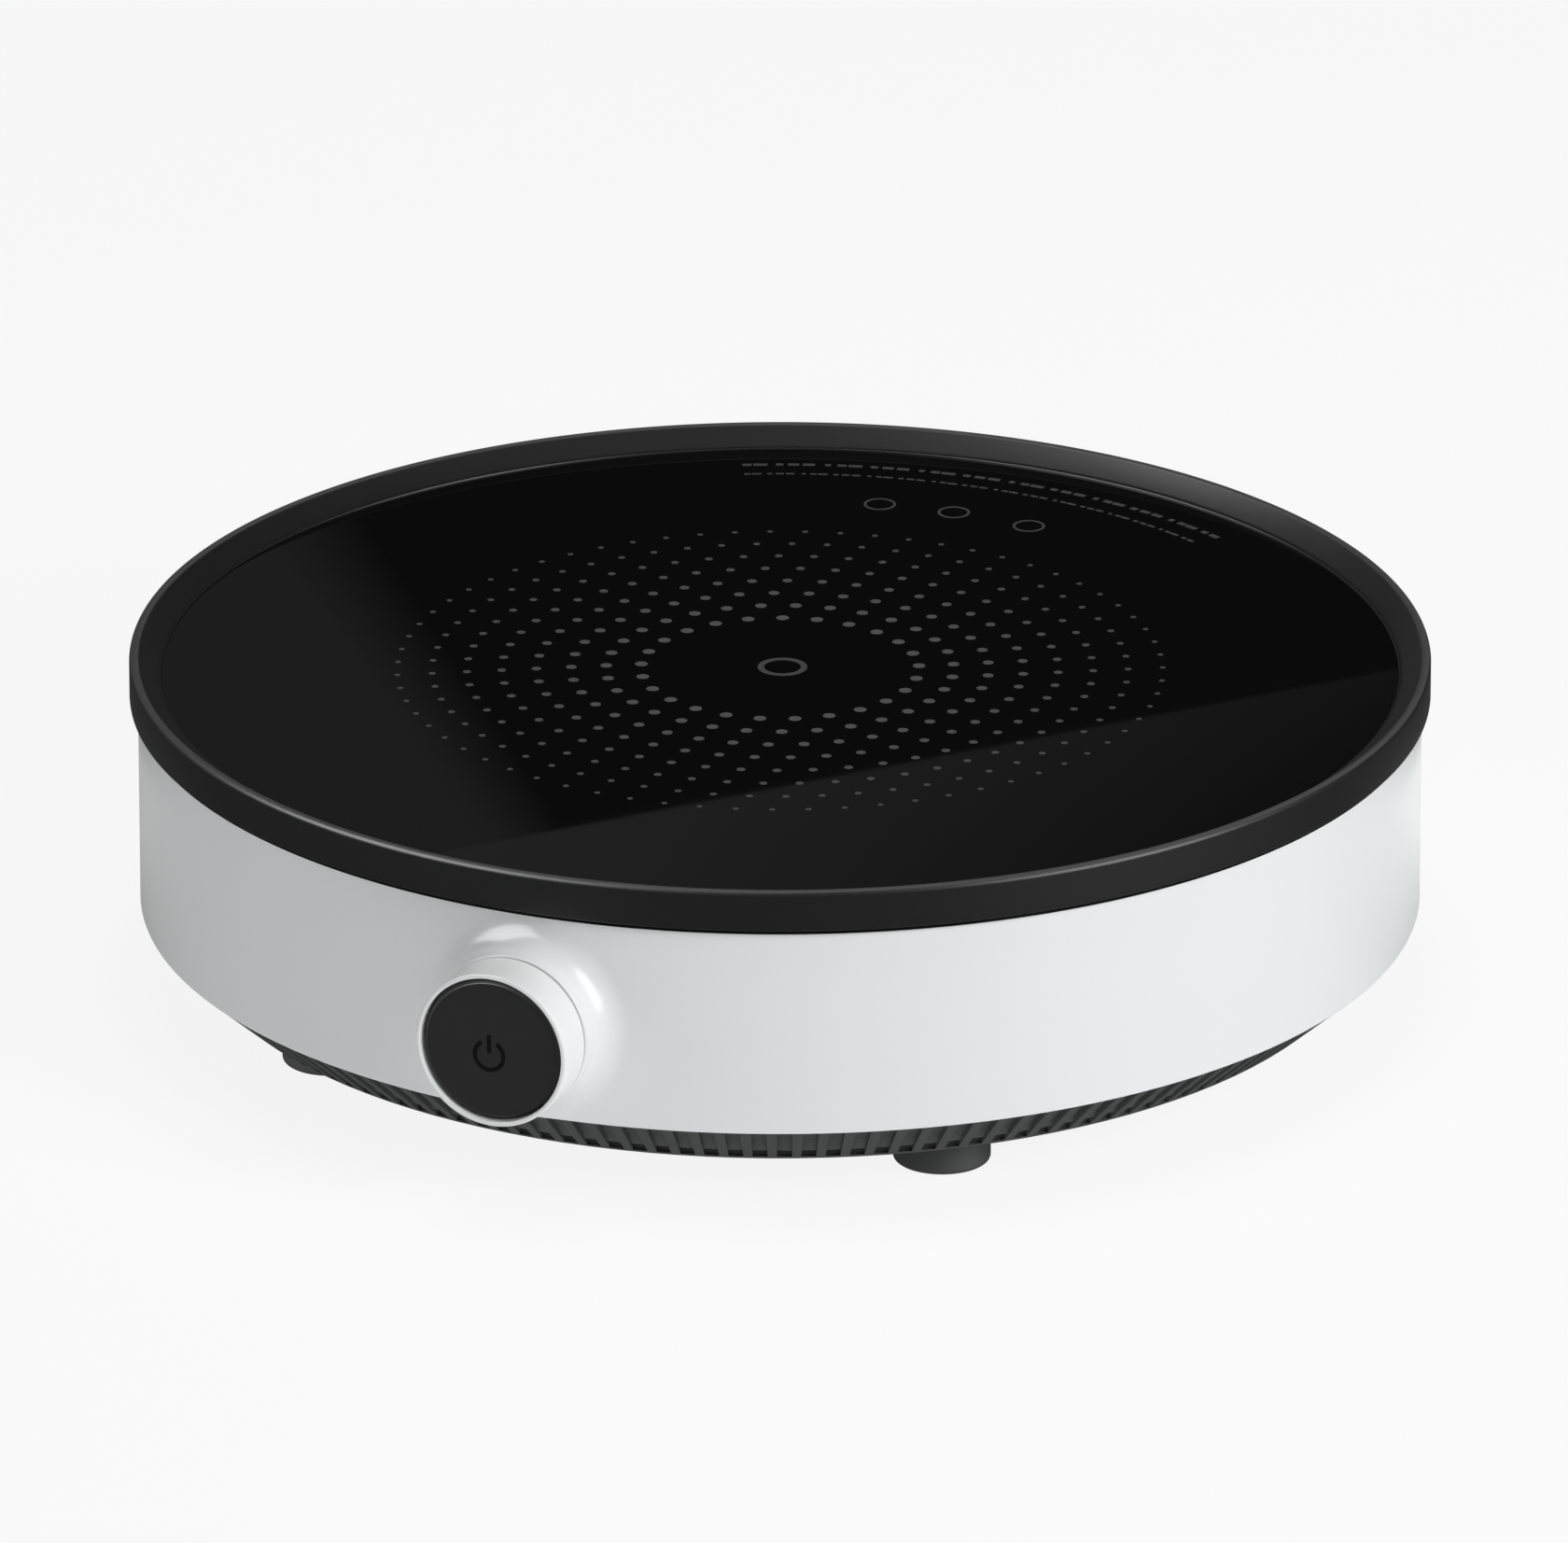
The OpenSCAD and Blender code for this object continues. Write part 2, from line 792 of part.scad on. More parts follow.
module heat_sink() {
    fin_pitch = (sink_w - fin_t) / (fin_count - 1);
    leg_z = sink_clear + 1;
    color("#b8babd")
    difference() {
        translate([sink_x, sink_y, board_top_z]) rotate([90, 0, 90]) linear_extrude(sink_len) union() {
            translate([0, sink_clear]) square([sink_w, sink_t]);
            square([sink_leg, leg_z]);
            translate([sink_w - sink_leg, 0]) square([sink_leg, leg_z]);
            for (i = [0:fin_count - 1])
                translate([i * fin_pitch, sink_clear + sink_t - 1]) square([fin_t, fin_h + 1]);
        }
        sink_screw_places() rod(screw_r, board_z, board_top_z + sink_clear);
    }
}

module sink_screws() {
    color("#9a9c9e")
    sink_screw_places() translate([0, 0, board_z]) rotate([180, 0, 0]) screw(board_t + 5, 2.7);
}

// A flat power package under the heat sink, with its leads bent down to the board
module power_package(x, y, size, leads, lead_pitch) {
    top = board_top_z + sink_clear;
    mid = top - size[2] / 2;
    block([x, y, top - size[2]], size);
    for (i = [0:leads - 1]) {
        lead_x = x + size[0] / 2 + (i - (leads - 1) / 2) * lead_pitch - 0.6;
        block([lead_x, y - 4, mid - 0.4], [1.2, 4.5, 0.8]);
        block([lead_x, y - 4, board_top_z], [1.2, 0.8, mid - board_top_z]);
    }
}

module igbt() {
    color("#202122") power_package(igbt_at[0], igbt_at[1], igbt_size, 3, 5.4);
}

module bridge_rectifier() {
    color("#252627") power_package(rectifier_at[0], rectifier_at[1], rectifier_size, 4, 7.5);
}

// A moulded box with rounded upright edges, standing on the main board
module board_box(corner, size, edge = 1.5) {
    translate([corner[0], corner[1], board_top_z]) linear_extrude(size[2]) union() {
        translate([edge, 0]) square([size[0] - 2 * edge, size[1]]);
        translate([0, edge]) square([size[0], size[1] - 2 * edge]);
        for (x = [edge, size[0] - edge], y = [edge, size[1] - edge]) translate([x, y]) circle(edge);
    }
}

module resonant_capacitor() {
    color("#c7c3b4") board_box(resonant_at, [resonant_size[0], resonant_size[1], cap_h]);
}

module filter_capacitor() {
    color("#d4a017") board_box(filter_at, filter_size);
}

module emi_capacitor() {
    color("#cf9f2e") board_box(emi_at, emi_size, 1);
}

module bulk_capacitors() {
    color("#2a3440")
    for (p = bulk_at) translate(p) rod(bulk_r, board_top_z, board_top_z + bulk_h);
}

module line_choke() {
    core_in_r = 7;
    core_out_r = 12.5;
    core_h = 9;
    wire = 1.4;
    turns = 10;
    lift = board_top_z + wire;
    translate(choke_at) {
        color("#59704a") tube(core_out_r, core_in_r, lift, lift + core_h);
        color("#b5713f")
        for (side = [0, 180], i = [0:turns - 1]) rotate([0, 0, side + 26 + i * 128 / (turns - 1)])
            translate([(core_in_r + core_out_r) / 2, 0, lift + core_h / 2])
                block(
                    [-(core_out_r - core_in_r) / 2 - wire, -wire / 2, -core_h / 2 - wire],
                    [core_out_r - core_in_r + 2 * wire, wire, core_h + 2 * wire]
                );
    }
}

module aux_transformer() {
    core_at = transformer_at + [(bobbin_size[0] - core_size[0]) / 2, 0];
    bobbin_at = transformer_at + [0, (core_size[1] - bobbin_size[1]) / 2];
    color("#3a3a3c") {
        board_box(bobbin_at, bobbin_size, 0.5);
        board_box(core_at, core_size, 2);
    }
}

module fuse() {
    cap_len = 5;
    clip_size = [1.5, 3, 3];
    translate([fuse_at[0], fuse_at[1], board_top_z + fuse_r + clip_size[2] / 2]) rotate([0, 90, 0]) {
        color("#cfd6d8") rod(fuse_r - 0.3, cap_len - 1, fuse_len - cap_len + 1);
        color("#b9bbbd") {
            rod(fuse_r, 0, cap_len);
            rod(fuse_r, fuse_len - cap_len, fuse_len);
        }
    }
    color("#b9bbbd")
    for (x = [clip_size[0], fuse_len - 2 * clip_size[0]])
        block([fuse_at[0] + x, fuse_at[1] - clip_size[1] / 2, board_top_z], clip_size);
}

module terminal_block() {
    ways = 2;
    screw_well = 2.4;
    wire_well = 2.2;
    wire_z = 5;
    color("#3f7a4d")
    difference() {
        block(
            [terminal_at[0], terminal_at[1], board_top_z],
            [terminal_depth, ways * terminal_way_w + 2, terminal_h]
        );
        for (i = [0:ways - 1])
            translate([terminal_at[0], terminal_at[1] + 1 + terminal_way_w * (i + 0.5), board_top_z]) {
                translate([terminal_depth / 2, 0, 0]) rod(screw_well, wire_z + 3, terminal_h + 1);
                translate([0, 0, wire_z]) rotate([0, 90, 0]) rod(wire_well, -1, terminal_depth - 4);
            }
    }
}

// ---------------------------------------------------------------- fan

module at_fan() {
    translate([fan_x, fan_y, 0]) children();
}

module fan_housing() {
    mount_t = 2.5;
    color("#1f2021")
    at_fan() difference() {
        union() {
            tube(fan_r, fan_r - fan_wall, floor_z, floor_z + fan_h);
            rod(fan_hub_r, floor_z, floor_z + mount_t);
            around(3) block([10, -1.5, floor_z], [fan_r - fan_wall - 9, 3, mount_t]);
            rod(tube_r, floor_z, bearing_z[1] + 0.5);
            around(3, 60) block([fan_r - 1, -ear_w / 2, ear_z], [ear_reach + 1, ear_w, ear_t]);
        }
        rod(tube_r - tube_wall, floor_z + mount_t, floor_z + fan_h);
        around(3, 60) translate([ear_hole_r, 0, 0]) rod(screw_hole_r, ear_z - 1, ear_z + ear_t + 1);
    }
}

module fan_screws() {
    color("#9a9c9e") at_fan_ears() translate([0, 0, ear_z + ear_t]) screw(ear_t + 4, 2.7);
}

module fan_bearing() {
    color("#a87d3c")
    at_fan() tube(tube_r - tube_wall - run_fit, shaft_r + run_fit, bearing_z[0], bearing_z[1]);
}

module fan_stator() {
    low = stator_z[0];
    high = stator_z[1];
    color("#7d7f83")
    at_fan() {
        tube(yoke_r, tube_r + run_fit, low, high);
        around(4) {
            block([yoke_r - 0.5, -1.2, low], [stator_r - pole_t - yoke_r + 1.1, 2.4, high - low]);
            rotate([0, 0, -32]) rotate_extrude(angle = 64)
                translate([stator_r - pole_t, low]) square([pole_t, high - low]);
        }
    }
    color("#b5713f")
    at_fan() around(4)
        block([yoke_r + 0.2, -2.1, low - 0.8], [stator_r - pole_t - yoke_r - 0.4, 4.2, high - low + 1.6]);
}

module fan_shaft() {
    color("#c9cbce") at_fan() rod(shaft_r, bearing_z[0] + 0.1, hub_top_z - hub_t);
}

module fan_magnet() {
    low = stator_z[0] - 0.5;
    color("#4b4542")
    at_fan() tube(hub_r - hub_wall - run_fit, magnet_in_r, low, hub_top_z - hub_t - seat_gap);
}

// A fan blade: rising s from 0 to 1, it sweeps round by the same arc length at each radius,
// with a camber that steepens towards its trailing edge
blade_in_r = hub_r - 0.4;
blade_out_r = fan_r - fan_wall - fan_tip_gap;
blade_low_z = floor_z + 4.5;
blade_h = fan_h - 8.5;
blade_sweep = 13;
blade_t = 1.4;
blade_spans = 4;
blade_chords = 6;
function blade_point(side, j, i) =
    let (
        r = blade_in_r + (blade_out_r - blade_in_r) * j / blade_spans,
        s = i / blade_chords,
        turn = (blade_sweep * pow(s, 1.35) + side * blade_t / 2) / r * 180 / PI
    )
    [r * cos(turn), r * sin(turn), blade_low_z + blade_h * s];

module fan_blade() {
    m = blade_chords + 1;
    n = blade_spans + 1;
    points = [for (side = [-1, 1], j = [0:blade_spans], i = [0:blade_chords])
        blade_point(side, j, i)];
    // the two skins, then the rim that joins their edges
    back = [for (j = [0:blade_spans - 1], i = [0:blade_chords - 1])
        [j * m + i, j * m + i + 1, (j + 1) * m + i + 1, (j + 1) * m + i]];
    front = [for (f = back) [for (k = [3:-1:0]) f[k] + m * n]];
    rim = concat(
        [for (i = [0:blade_chords]) i],
        [for (j = [1:blade_spans]) j * m + blade_chords],
        [for (i = [blade_chords - 1:-1:0]) blade_spans * m + i],
        [for (j = [blade_spans - 1:-1:1]) j * m]
    );
    count = len(rim);
    edge = [for (k = [0:count - 1])
        let (a = rim[k], b = rim[(k + 1) % count]) [b, a, a + m * n, b + m * n]];
    polyhedron(points, concat(back, front, edge));
}

module fan_impeller() {
    color("#2b2c2e")
    at_fan() difference() {
        union() {
            difference() {
                rod(hub_r, floor_z + 5, hub_top_z);
                rod(hub_r - hub_wall, floor_z + 4, hub_top_z - hub_t);
            }
            rod(2.6, floor_z + 17, hub_top_z - 0.5);
            around(blade_count) fan_blade();
        }
        rod(shaft_r + 0.02, floor_z, hub_top_z - hub_t);
    }
}

// ---------------------------------------------------------------- knob

module knob_barrel() {
    bore = stem_r + slide_fit;
    color("#e2e3e4")
    difference() {
        union() {
            along_knob() translate([-plate_w / 2, -plate_h / 2, plate_u]) cube([plate_w, plate_h, plate_t]);
            knob_turned([
                [0, plate_u],
                [barrel_r, plate_u],
                [barrel_r, barrel_u],
                [nose_r, barrel_u],
                [nose_r, clip_u - clip_slack],
                [nose_r - groove_depth, clip_u - clip_slack],
                [nose_r - groove_depth, clip_u + clip_t + clip_slack],
                [nose_r, clip_u + clip_t + clip_slack],
                [nose_r, nose_u],
                [0, nose_u]
            ]);
        }
        along_knob() rod(bore, plate_u, nose_u + 1);
        along_knob() rod(spring_hole_r, plate_u - 1, plate_u + plate_t + 1);
        along_knob() rod(barrel_r - barrel_wall, plate_u + plate_t, barrel_u - barrel_wall);
        barrel_fixings(screw_hole_r, plate_u - 1, plate_u + plate_t + 1);
    }
}

module control_board() {
    width = 46;
    height = 28;
    chip = [14, 1.4, 10];
    color("#2f6b3f")
    difference() {
        union() {
            along_knob() translate([-width / 2, -height / 2, panel_u]) cube([width, height, board_t]);
            block([-7, -panel_u, knob_z + 1], chip);
            block([-7, -panel_u, knob_z - 11], [14, 6.8, 7]);
        }
        barrel_fixings(screw_hole_r, panel_u - 1, panel_u + board_t + 1);
    }
}

module barrel_screws() {
    color("#9a9c9e")
    for (x = [-screw_x, screw_x], y = [-screw_y, screw_y])
        along_knob() translate([x, y, panel_u]) rotate([180, 0, 0]) screw(board_t + plate_t + 5, 2.5);
}

module power_switch() {
    well_r = plunger_r + slide_fit;
    color("#26272a")
    along_knob() difference() {
        translate([-switch_w / 2, -switch_w / 2, switch_u]) cube([switch_w, switch_w, switch_t]);
        rod(well_r, switch_u + switch_t - plunger_in - button_travel - 0.3, switch_u + switch_t + 1);
    }
}

module switch_plunger() {
    color("#1a1a1c")
    along_knob() rod(plunger_r, switch_u + switch_t - plunger_in, stem_u);
}

module encoder_base() {
    color("#31553b") along_knob() tube(encoder_r, encoder_in_r, barrel_u, barrel_u + encoder_t);
}

encoder_gap = 0.3;
module encoder_rotor() {
    notch_count = 24;
    low = barrel_u + encoder_t + encoder_gap;
    color("#4a4b4e")
    along_knob() difference() {
        tube(encoder_r + 0.6, encoder_in_r - 0.2, low, web_u - web_t);
        around(notch_count) translate([encoder_in_r - 0.2, 0, 0]) rod(0.6, low - 1, web_u);
    }
}

module knob_ring() {
    edge = 0.5;
    front_edge = 0.35;
    lip_in_r = knob_r - ring_lip;
    color("#f2f3f4")
    knob_turned(concat(
        [
            [nose_r + run_fit, web_u - web_t],
            [knob_r - 1.7, web_u - web_t],
            [knob_r - 1.7, ring_u],
            [knob_r - 0.3, ring_u],
            [knob_r, ring_u + 0.3]
        ],
        arc([knob_r - edge, ring_front_u - edge], edge, 0, 90, 5),
        [
            [lip_in_r + front_edge, ring_front_u],
            [lip_in_r, ring_front_u - front_edge],
            [lip_in_r, web_u],
            [nose_r + run_fit, web_u]
        ]
    ));
}

module knob_clip() {
    mouth = 50;
    inner = nose_r - groove_depth + run_fit;
    color("#8e9195")
    along_knob() rotate([0, 0, mouth / 2]) rotate_extrude(angle = 360 - mouth)
        translate([inner, clip_u]) square([nose_r + 2 - inner, clip_t]);
}

// ---------------------------------------------------------------- push button

module button_cover() {
    bevel = 0.35;
    color("#242526")
    knob_turned([
        [0, button_u - cover_t],
        [button_r, button_u - cover_t],
        [button_r, button_u - bevel],
        [button_r - bevel, button_u],
        [0, button_u]
    ]);
}

module button_carrier() {
    color("#161718") along_knob() rod(button_r - 0.6, carrier_u, carrier_u + carrier_t);
}

module button_stem() {
    color("#3d3e41")
    along_knob() {
        rod(stem_r, stem_u, carrier_u);
        rod(collar_r, collar_u, collar_u + collar_t);
    }
}

// A helix swept round the stem between the barrel's plate and the stem's collar
spring_turns = 5;
spring_steps = 18;
spring_sides = 6;
module button_spring() {
    low = plate_u + plate_t + spring_wire_r + seat_gap;
    high = collar_u - spring_wire_r - seat_gap;
    rings = spring_turns * spring_steps;
    m = spring_sides;
    points = [for (k = [0:rings], i = [0:m - 1])
        let (
            turn = 360 * k / spring_steps,
            r = spring_r + spring_wire_r * cos(360 * i / m),
            rise = low + (high - low) * k / rings + spring_wire_r * sin(360 * i / m)
        )
        [r * cos(turn), r * sin(turn), rise]];
    sides = [for (k = [0:rings - 1], i = [0:m - 1])
        [k * m + i, k * m + (i + 1) % m, (k + 1) * m + (i + 1) % m, (k + 1) * m + i]];
    ends = [[for (i = [m - 1:-1:0]) i], [for (i = [0:m - 1]) rings * m + i]];
    color("#b9bcc0") along_knob() polyhedron(points, concat(sides, ends));
}

// A flat cable from the control board's plug, in over the main board and down to its socket
module control_cable() {
    cable_t = 1;
    cable_w = 12;
    bend_r = 6;
    plug_u = panel_u - 6.8;
    socket_y = board_front + 3;
    socket_h = 7;
    run_z = knob_z - 7.5;
    color("#5b5e63") {
        rotate([90, 0, 90]) translate([0, 0, -cable_w / 2]) linear_extrude(cable_w) polygon(concat(
            [[-plug_u, run_z - cable_t / 2]],
            arc([socket_y - bend_r, run_z - bend_r], bend_r - cable_t / 2, 90, 0, 6),
            [
                [socket_y - cable_t / 2, board_top_z + socket_h],
                [socket_y + cable_t / 2, board_top_z + socket_h]
            ],
            arc([socket_y - bend_r, run_z - bend_r], bend_r + cable_t / 2, 0, 90, 6),
            [[-plug_u, run_z + cable_t / 2]]
        ));
        block([-7, socket_y - 2.5, board_top_z], [14, 5, socket_h]);
    }
}

// ---------------------------------------------------------------- the assembly

outer_shell();
trim_ring();
glass_plate();
glass_gasket();
base_pan();
foot_at(0, foot_angle);  // foot_front_right
foot_at(0, -foot_angle);  // foot_front_left
foot_at(180, foot_angle);  // foot_rear_left
foot_at(180, -foot_angle);  // foot_rear_right
base_screws();
cord_gland();
gland_nut();
insulation_sheet();
coil_winding();
coil_former();
ferrite_bars();
coil_screws();
coil_leads();
sensor_holder();
thermistor();
main_board();
board_screws();
heat_sink();
igbt();
bridge_rectifier();
sink_screws();
resonant_capacitor();
filter_capacitor();
emi_capacitor();
bulk_capacitors();
line_choke();
aux_transformer();
fuse();
terminal_block();
fan_housing();
fan_bearing();
fan_stator();
fan_impeller();
fan_magnet();
fan_shaft();
fan_screws();
knob_barrel();
control_board();
barrel_screws();
power_switch();
encoder_base();
control_cable();
encoder_rotor();
knob_ring();
knob_clip();
button_cover();
button_carrier();
button_stem();
switch_plunger();
button_spring();
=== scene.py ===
import math

import bmesh
import bpy
import numpy as np
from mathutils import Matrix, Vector


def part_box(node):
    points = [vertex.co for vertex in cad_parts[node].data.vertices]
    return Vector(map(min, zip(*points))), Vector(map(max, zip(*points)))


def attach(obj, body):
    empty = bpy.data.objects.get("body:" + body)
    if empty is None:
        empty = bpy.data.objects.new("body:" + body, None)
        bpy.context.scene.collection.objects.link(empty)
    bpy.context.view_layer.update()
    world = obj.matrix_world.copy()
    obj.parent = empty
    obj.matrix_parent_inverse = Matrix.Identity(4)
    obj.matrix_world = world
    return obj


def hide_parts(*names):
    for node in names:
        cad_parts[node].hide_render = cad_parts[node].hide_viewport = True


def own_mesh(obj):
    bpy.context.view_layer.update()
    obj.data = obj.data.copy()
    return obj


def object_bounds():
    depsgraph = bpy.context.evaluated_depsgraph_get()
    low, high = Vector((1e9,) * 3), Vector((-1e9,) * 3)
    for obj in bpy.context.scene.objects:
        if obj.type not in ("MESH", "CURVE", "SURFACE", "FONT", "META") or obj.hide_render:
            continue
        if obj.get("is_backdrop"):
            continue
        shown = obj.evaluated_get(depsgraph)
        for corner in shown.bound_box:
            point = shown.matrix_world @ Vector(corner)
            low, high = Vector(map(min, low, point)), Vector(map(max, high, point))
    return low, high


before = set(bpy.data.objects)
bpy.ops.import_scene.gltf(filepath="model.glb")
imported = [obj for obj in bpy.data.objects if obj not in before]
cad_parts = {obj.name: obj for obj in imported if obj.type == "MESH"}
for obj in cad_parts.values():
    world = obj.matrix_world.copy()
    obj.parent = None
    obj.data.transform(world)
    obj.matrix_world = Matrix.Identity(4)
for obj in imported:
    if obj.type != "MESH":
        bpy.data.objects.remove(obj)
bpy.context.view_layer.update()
MM = 0.001


# ---- Camera -------------------------------------------------------------------------------
# A long lens almost four metres off, to the right of the knob's line and looking down on the
# cooktop, aimed a little below the middle of the glass.
view_turn = math.radians(22.65)
view_rise = math.radians(21.59)
view_distance = 3.99
aim_right, aim_down = 0.8 * MM, 21.0 * MM
glass_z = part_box("glass_plate")[1][2]

view_from = Vector((math.sin(view_turn) * math.cos(view_rise),
                    -math.cos(view_turn) * math.cos(view_rise),
                    math.sin(view_rise)))
view_right = Vector((math.cos(view_turn), math.sin(view_turn), 0))
view_up = view_from.cross(view_right)
lens = bpy.data.cameras.new("camera")
lens.lens = 451.5
lens.sensor_width = 36
lens.clip_end = 50
camera = bpy.data.objects.new("camera", lens)
camera.location = (Vector((0, 0, glass_z)) + aim_right * view_right - aim_down * view_up
                   + view_distance * view_from)
camera.rotation_euler = view_from.to_track_quat("Z", "Y").to_euler()
bpy.context.collection.objects.link(camera)
bpy.context.scene.camera = camera
bpy.context.scene.view_settings.view_transform = "Standard"


# ---- Outer shell --------------------------------------------------------------------------
# The wall is one moulding in glossy white ABS, screwed to the base from below. A round boss
# for the knob grows out of its front through a hollow fillet, and a round hole at the back
# takes the cord gland. Its lower edge is softly rounded.
wall_r, wall_in_r = 130.3 * MM, 128.0 * MM
wall_low, wall_high = 19.3 * MM, glass_z - 0.2 * MM
wall_edge = 0.35 * MM
wall_rows, window_columns = 40, 48
low_bend = np.radians(np.linspace(90, 18, 5))
knob_z = (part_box("knob_ring")[0][2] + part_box("knob_ring")[1][2]) / 2
boss_r, boss_bore_r, boss_u = 16.3 * MM, 13.8 * MM, 138.1 * MM
fillet_r = 6 * MM
boss_window = 34 * MM
boss_edge, boss_lip = 0.35 * MM, 0.2 * MM
outlet_z = (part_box("cord_gland")[0][2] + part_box("cord_gland")[1][2]) / 2
outlet_r = 6.1 * MM
outlet_window = 20 * MM


def grid_faces(lines, points, lines_closed, points_closed):
    """Quads between neighbouring points of a grid stored line by line. A closed direction
    joins its last line, or its last point, to the first."""
    i = np.arange(lines if lines_closed else lines - 1)
    j = np.arange(points if points_closed else points - 1)
    i, j = np.meshgrid(i, j, indexing="ij")
    i2, j2 = (i + 1) % lines, (j + 1) % points
    quads = [i * points + j, i * points + j2, i2 * points + j2, i2 * points + j]
    return np.stack(quads, -1).reshape(-1, 4)


def piece(name, points, faces, material, body, sharp=40):
    """A piece of the object from points and faces: repeated points merged, faces turned
    outwards, shaded smooth except across edges sharper than the angle, and riding on a body."""
    mesh = bpy.data.meshes.new(name)
    mesh.from_pydata(points.reshape(-1, 3).tolist(), [], faces.tolist())
    shape = bmesh.new()
    shape.from_mesh(mesh)
    bmesh.ops.remove_doubles(shape, verts=shape.verts, dist=1e-6)
    bmesh.ops.dissolve_degenerate(shape, edges=shape.edges, dist=1e-7)
    bmesh.ops.recalc_face_normals(shape, faces=shape.faces)
    shape.to_mesh(mesh)
    shape.free()
    mesh.shade_smooth()
    mesh.set_sharp_from_angle(angle=math.radians(sharp))
    mesh.materials.append(material)
    thing = bpy.data.objects.new(name, mesh)
    bpy.context.collection.objects.link(thing)
    thing.modifiers.new("even shading", "WEIGHTED_NORMAL").keep_sharp = True
    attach(thing, body)
    return thing


def wear_group():
    """Moulded or machined surface: a broad noise shifts colour and roughness a little, and a
    fine noise gives the grain that the bump follows. Both are laid on object coordinates."""
    group = bpy.data.node_groups.new("surface_grain", "ShaderNodeTree")
    sockets = (("Colour", "NodeSocketColor"), ("Tint", "NodeSocketColor"),
               ("Tint Amount", "NodeSocketFloat"), ("Roughness", "NodeSocketFloat"),
               ("Roughness Spread", "NodeSocketFloat"), ("Patch Scale", "NodeSocketFloat"),
               ("Grain Scale", "NodeSocketFloat"), ("Grain Depth", "NodeSocketFloat"))
    for name, kind in sockets:
        group.interface.new_socket(name, in_out="INPUT", socket_type=kind)
    for name, kind in (("Colour", "NodeSocketColor"), ("Roughness", "NodeSocketFloat"),
                       ("Normal", "NodeSocketVector")):
        group.interface.new_socket(name, in_out="OUTPUT", socket_type=kind)
    add, link = group.nodes.new, group.links.new
    given, out = add("NodeGroupInput"), add("NodeGroupOutput")
    where = add("ShaderNodeTexCoord")
    patch, grain = add("ShaderNodeTexNoise"), add("ShaderNodeTexNoise")
    patch.inputs["Detail"].default_value = 3
    grain.inputs["Detail"].default_value = 2
    link(where.outputs["Object"], patch.inputs["Vector"])
    link(where.outputs["Object"], grain.inputs["Vector"])
    link(given.outputs["Patch Scale"], patch.inputs["Scale"])
    link(given.outputs["Grain Scale"], grain.inputs["Scale"])
    amount = add("ShaderNodeMath")
    amount.operation = "MULTIPLY"
    link(patch.outputs["Fac"], amount.inputs[0])
    link(given.outputs["Tint Amount"], amount.inputs[1])
    mix = add("ShaderNodeMix")
    mix.data_type = "RGBA"
    link(amount.outputs[0], mix.inputs["Factor"])
    link(given.outputs["Colour"], mix.inputs[6])
    link(given.outputs["Tint"], mix.inputs[7])
    link(mix.outputs[2], out.inputs["Colour"])
    centred = add("ShaderNodeMath")
    centred.operation = "SUBTRACT"
    centred.inputs[1].default_value = 0.5
    link(grain.outputs["Fac"], centred.inputs[0])
    rough = add("ShaderNodeMath")
    rough.operation = "MULTIPLY_ADD"
    link(centred.outputs[0], rough.inputs[0])
    link(given.outputs["Roughness Spread"], rough.inputs[1])
    link(given.outputs["Roughness"], rough.inputs[2])
    link(rough.outputs[0], out.inputs["Roughness"])
    height = add("ShaderNodeMath")
    height.operation = "MULTIPLY"
    link(grain.outputs["Fac"], height.inputs[0])
    link(given.outputs["Grain Depth"], height.inputs[1])
    bump = add("ShaderNodeBump")
    link(height.outputs[0], bump.inputs["Height"])
    link(bump.outputs["Normal"], out.inputs["Normal"])
    return group


surface_grain = wear_group()


def finish(name, colour, tint=None, tint_amount=0.5, roughness=0.4, spread=0.06,
           patch=30, grain=900, depth=0.00002, **fixed):
    """A material on the grain group; fixed values go straight on the shader's own sockets."""
    material = bpy.data.materials.new(name)
    material.use_nodes = True
    nodes, link = material.node_tree.nodes, material.node_tree.links.new
    shader = nodes["Principled BSDF"]
    grain_node = nodes.new("ShaderNodeGroup")
    grain_node.node_tree = surface_grain
    tint = tint or tuple(0.86 * c for c in colour)
    given = {"Colour": (*colour, 1), "Tint": (*tint, 1), "Tint Amount": tint_amount,
             "Roughness": roughness, "Roughness Spread": spread, "Patch Scale": patch,
             "Grain Scale": grain, "Grain Depth": depth}
    for socket, value in given.items():
        grain_node.inputs[socket].default_value = value
    link(grain_node.outputs["Colour"], shader.inputs["Base Color"])
    link(grain_node.outputs["Roughness"], shader.inputs["Roughness"])
    link(grain_node.outputs["Normal"], shader.inputs["Normal"])
    for socket, value in fixed.items():
        shader.inputs[socket.replace("_", " ")].default_value = value
    return material


def window_rays(half_width, centre_z):
    """Points round a rectangular window of the wall, anticlockwise seen from outside, as
    distance along the wall and height, with each one's angle about the window's centre."""
    low, high = wall_low + wall_edge, wall_high
    across = np.linspace(-half_width, half_width, window_columns + 1)
    up = np.linspace(low, high, wall_rows + 1)
    along = np.concatenate([across[:-1], np.full(wall_rows, half_width),
                            across[:0:-1], np.full(wall_rows, -half_width)])
    height = np.concatenate([np.full(window_columns, low), up[:-1],
                             np.full(window_columns, high), up[:0:-1]])
    return along, height, np.arctan2(height - centre_z, along)


def on_wall(r, turn, z):
    """Points at radius r, turned about the axis from the knob's line, at height z."""
    return np.stack(np.broadcast_arrays(r * np.sin(turn), -r * np.cos(turn), z), -1)


def spread(a, b, steps, power=1.0):
    """Values from a to b, left out at a: a + (b - a) * (k / steps) ** power, per ray."""
    t = (np.arange(1, steps + 1) / steps) ** power
    return a[:, None] + (b - a)[:, None] * t


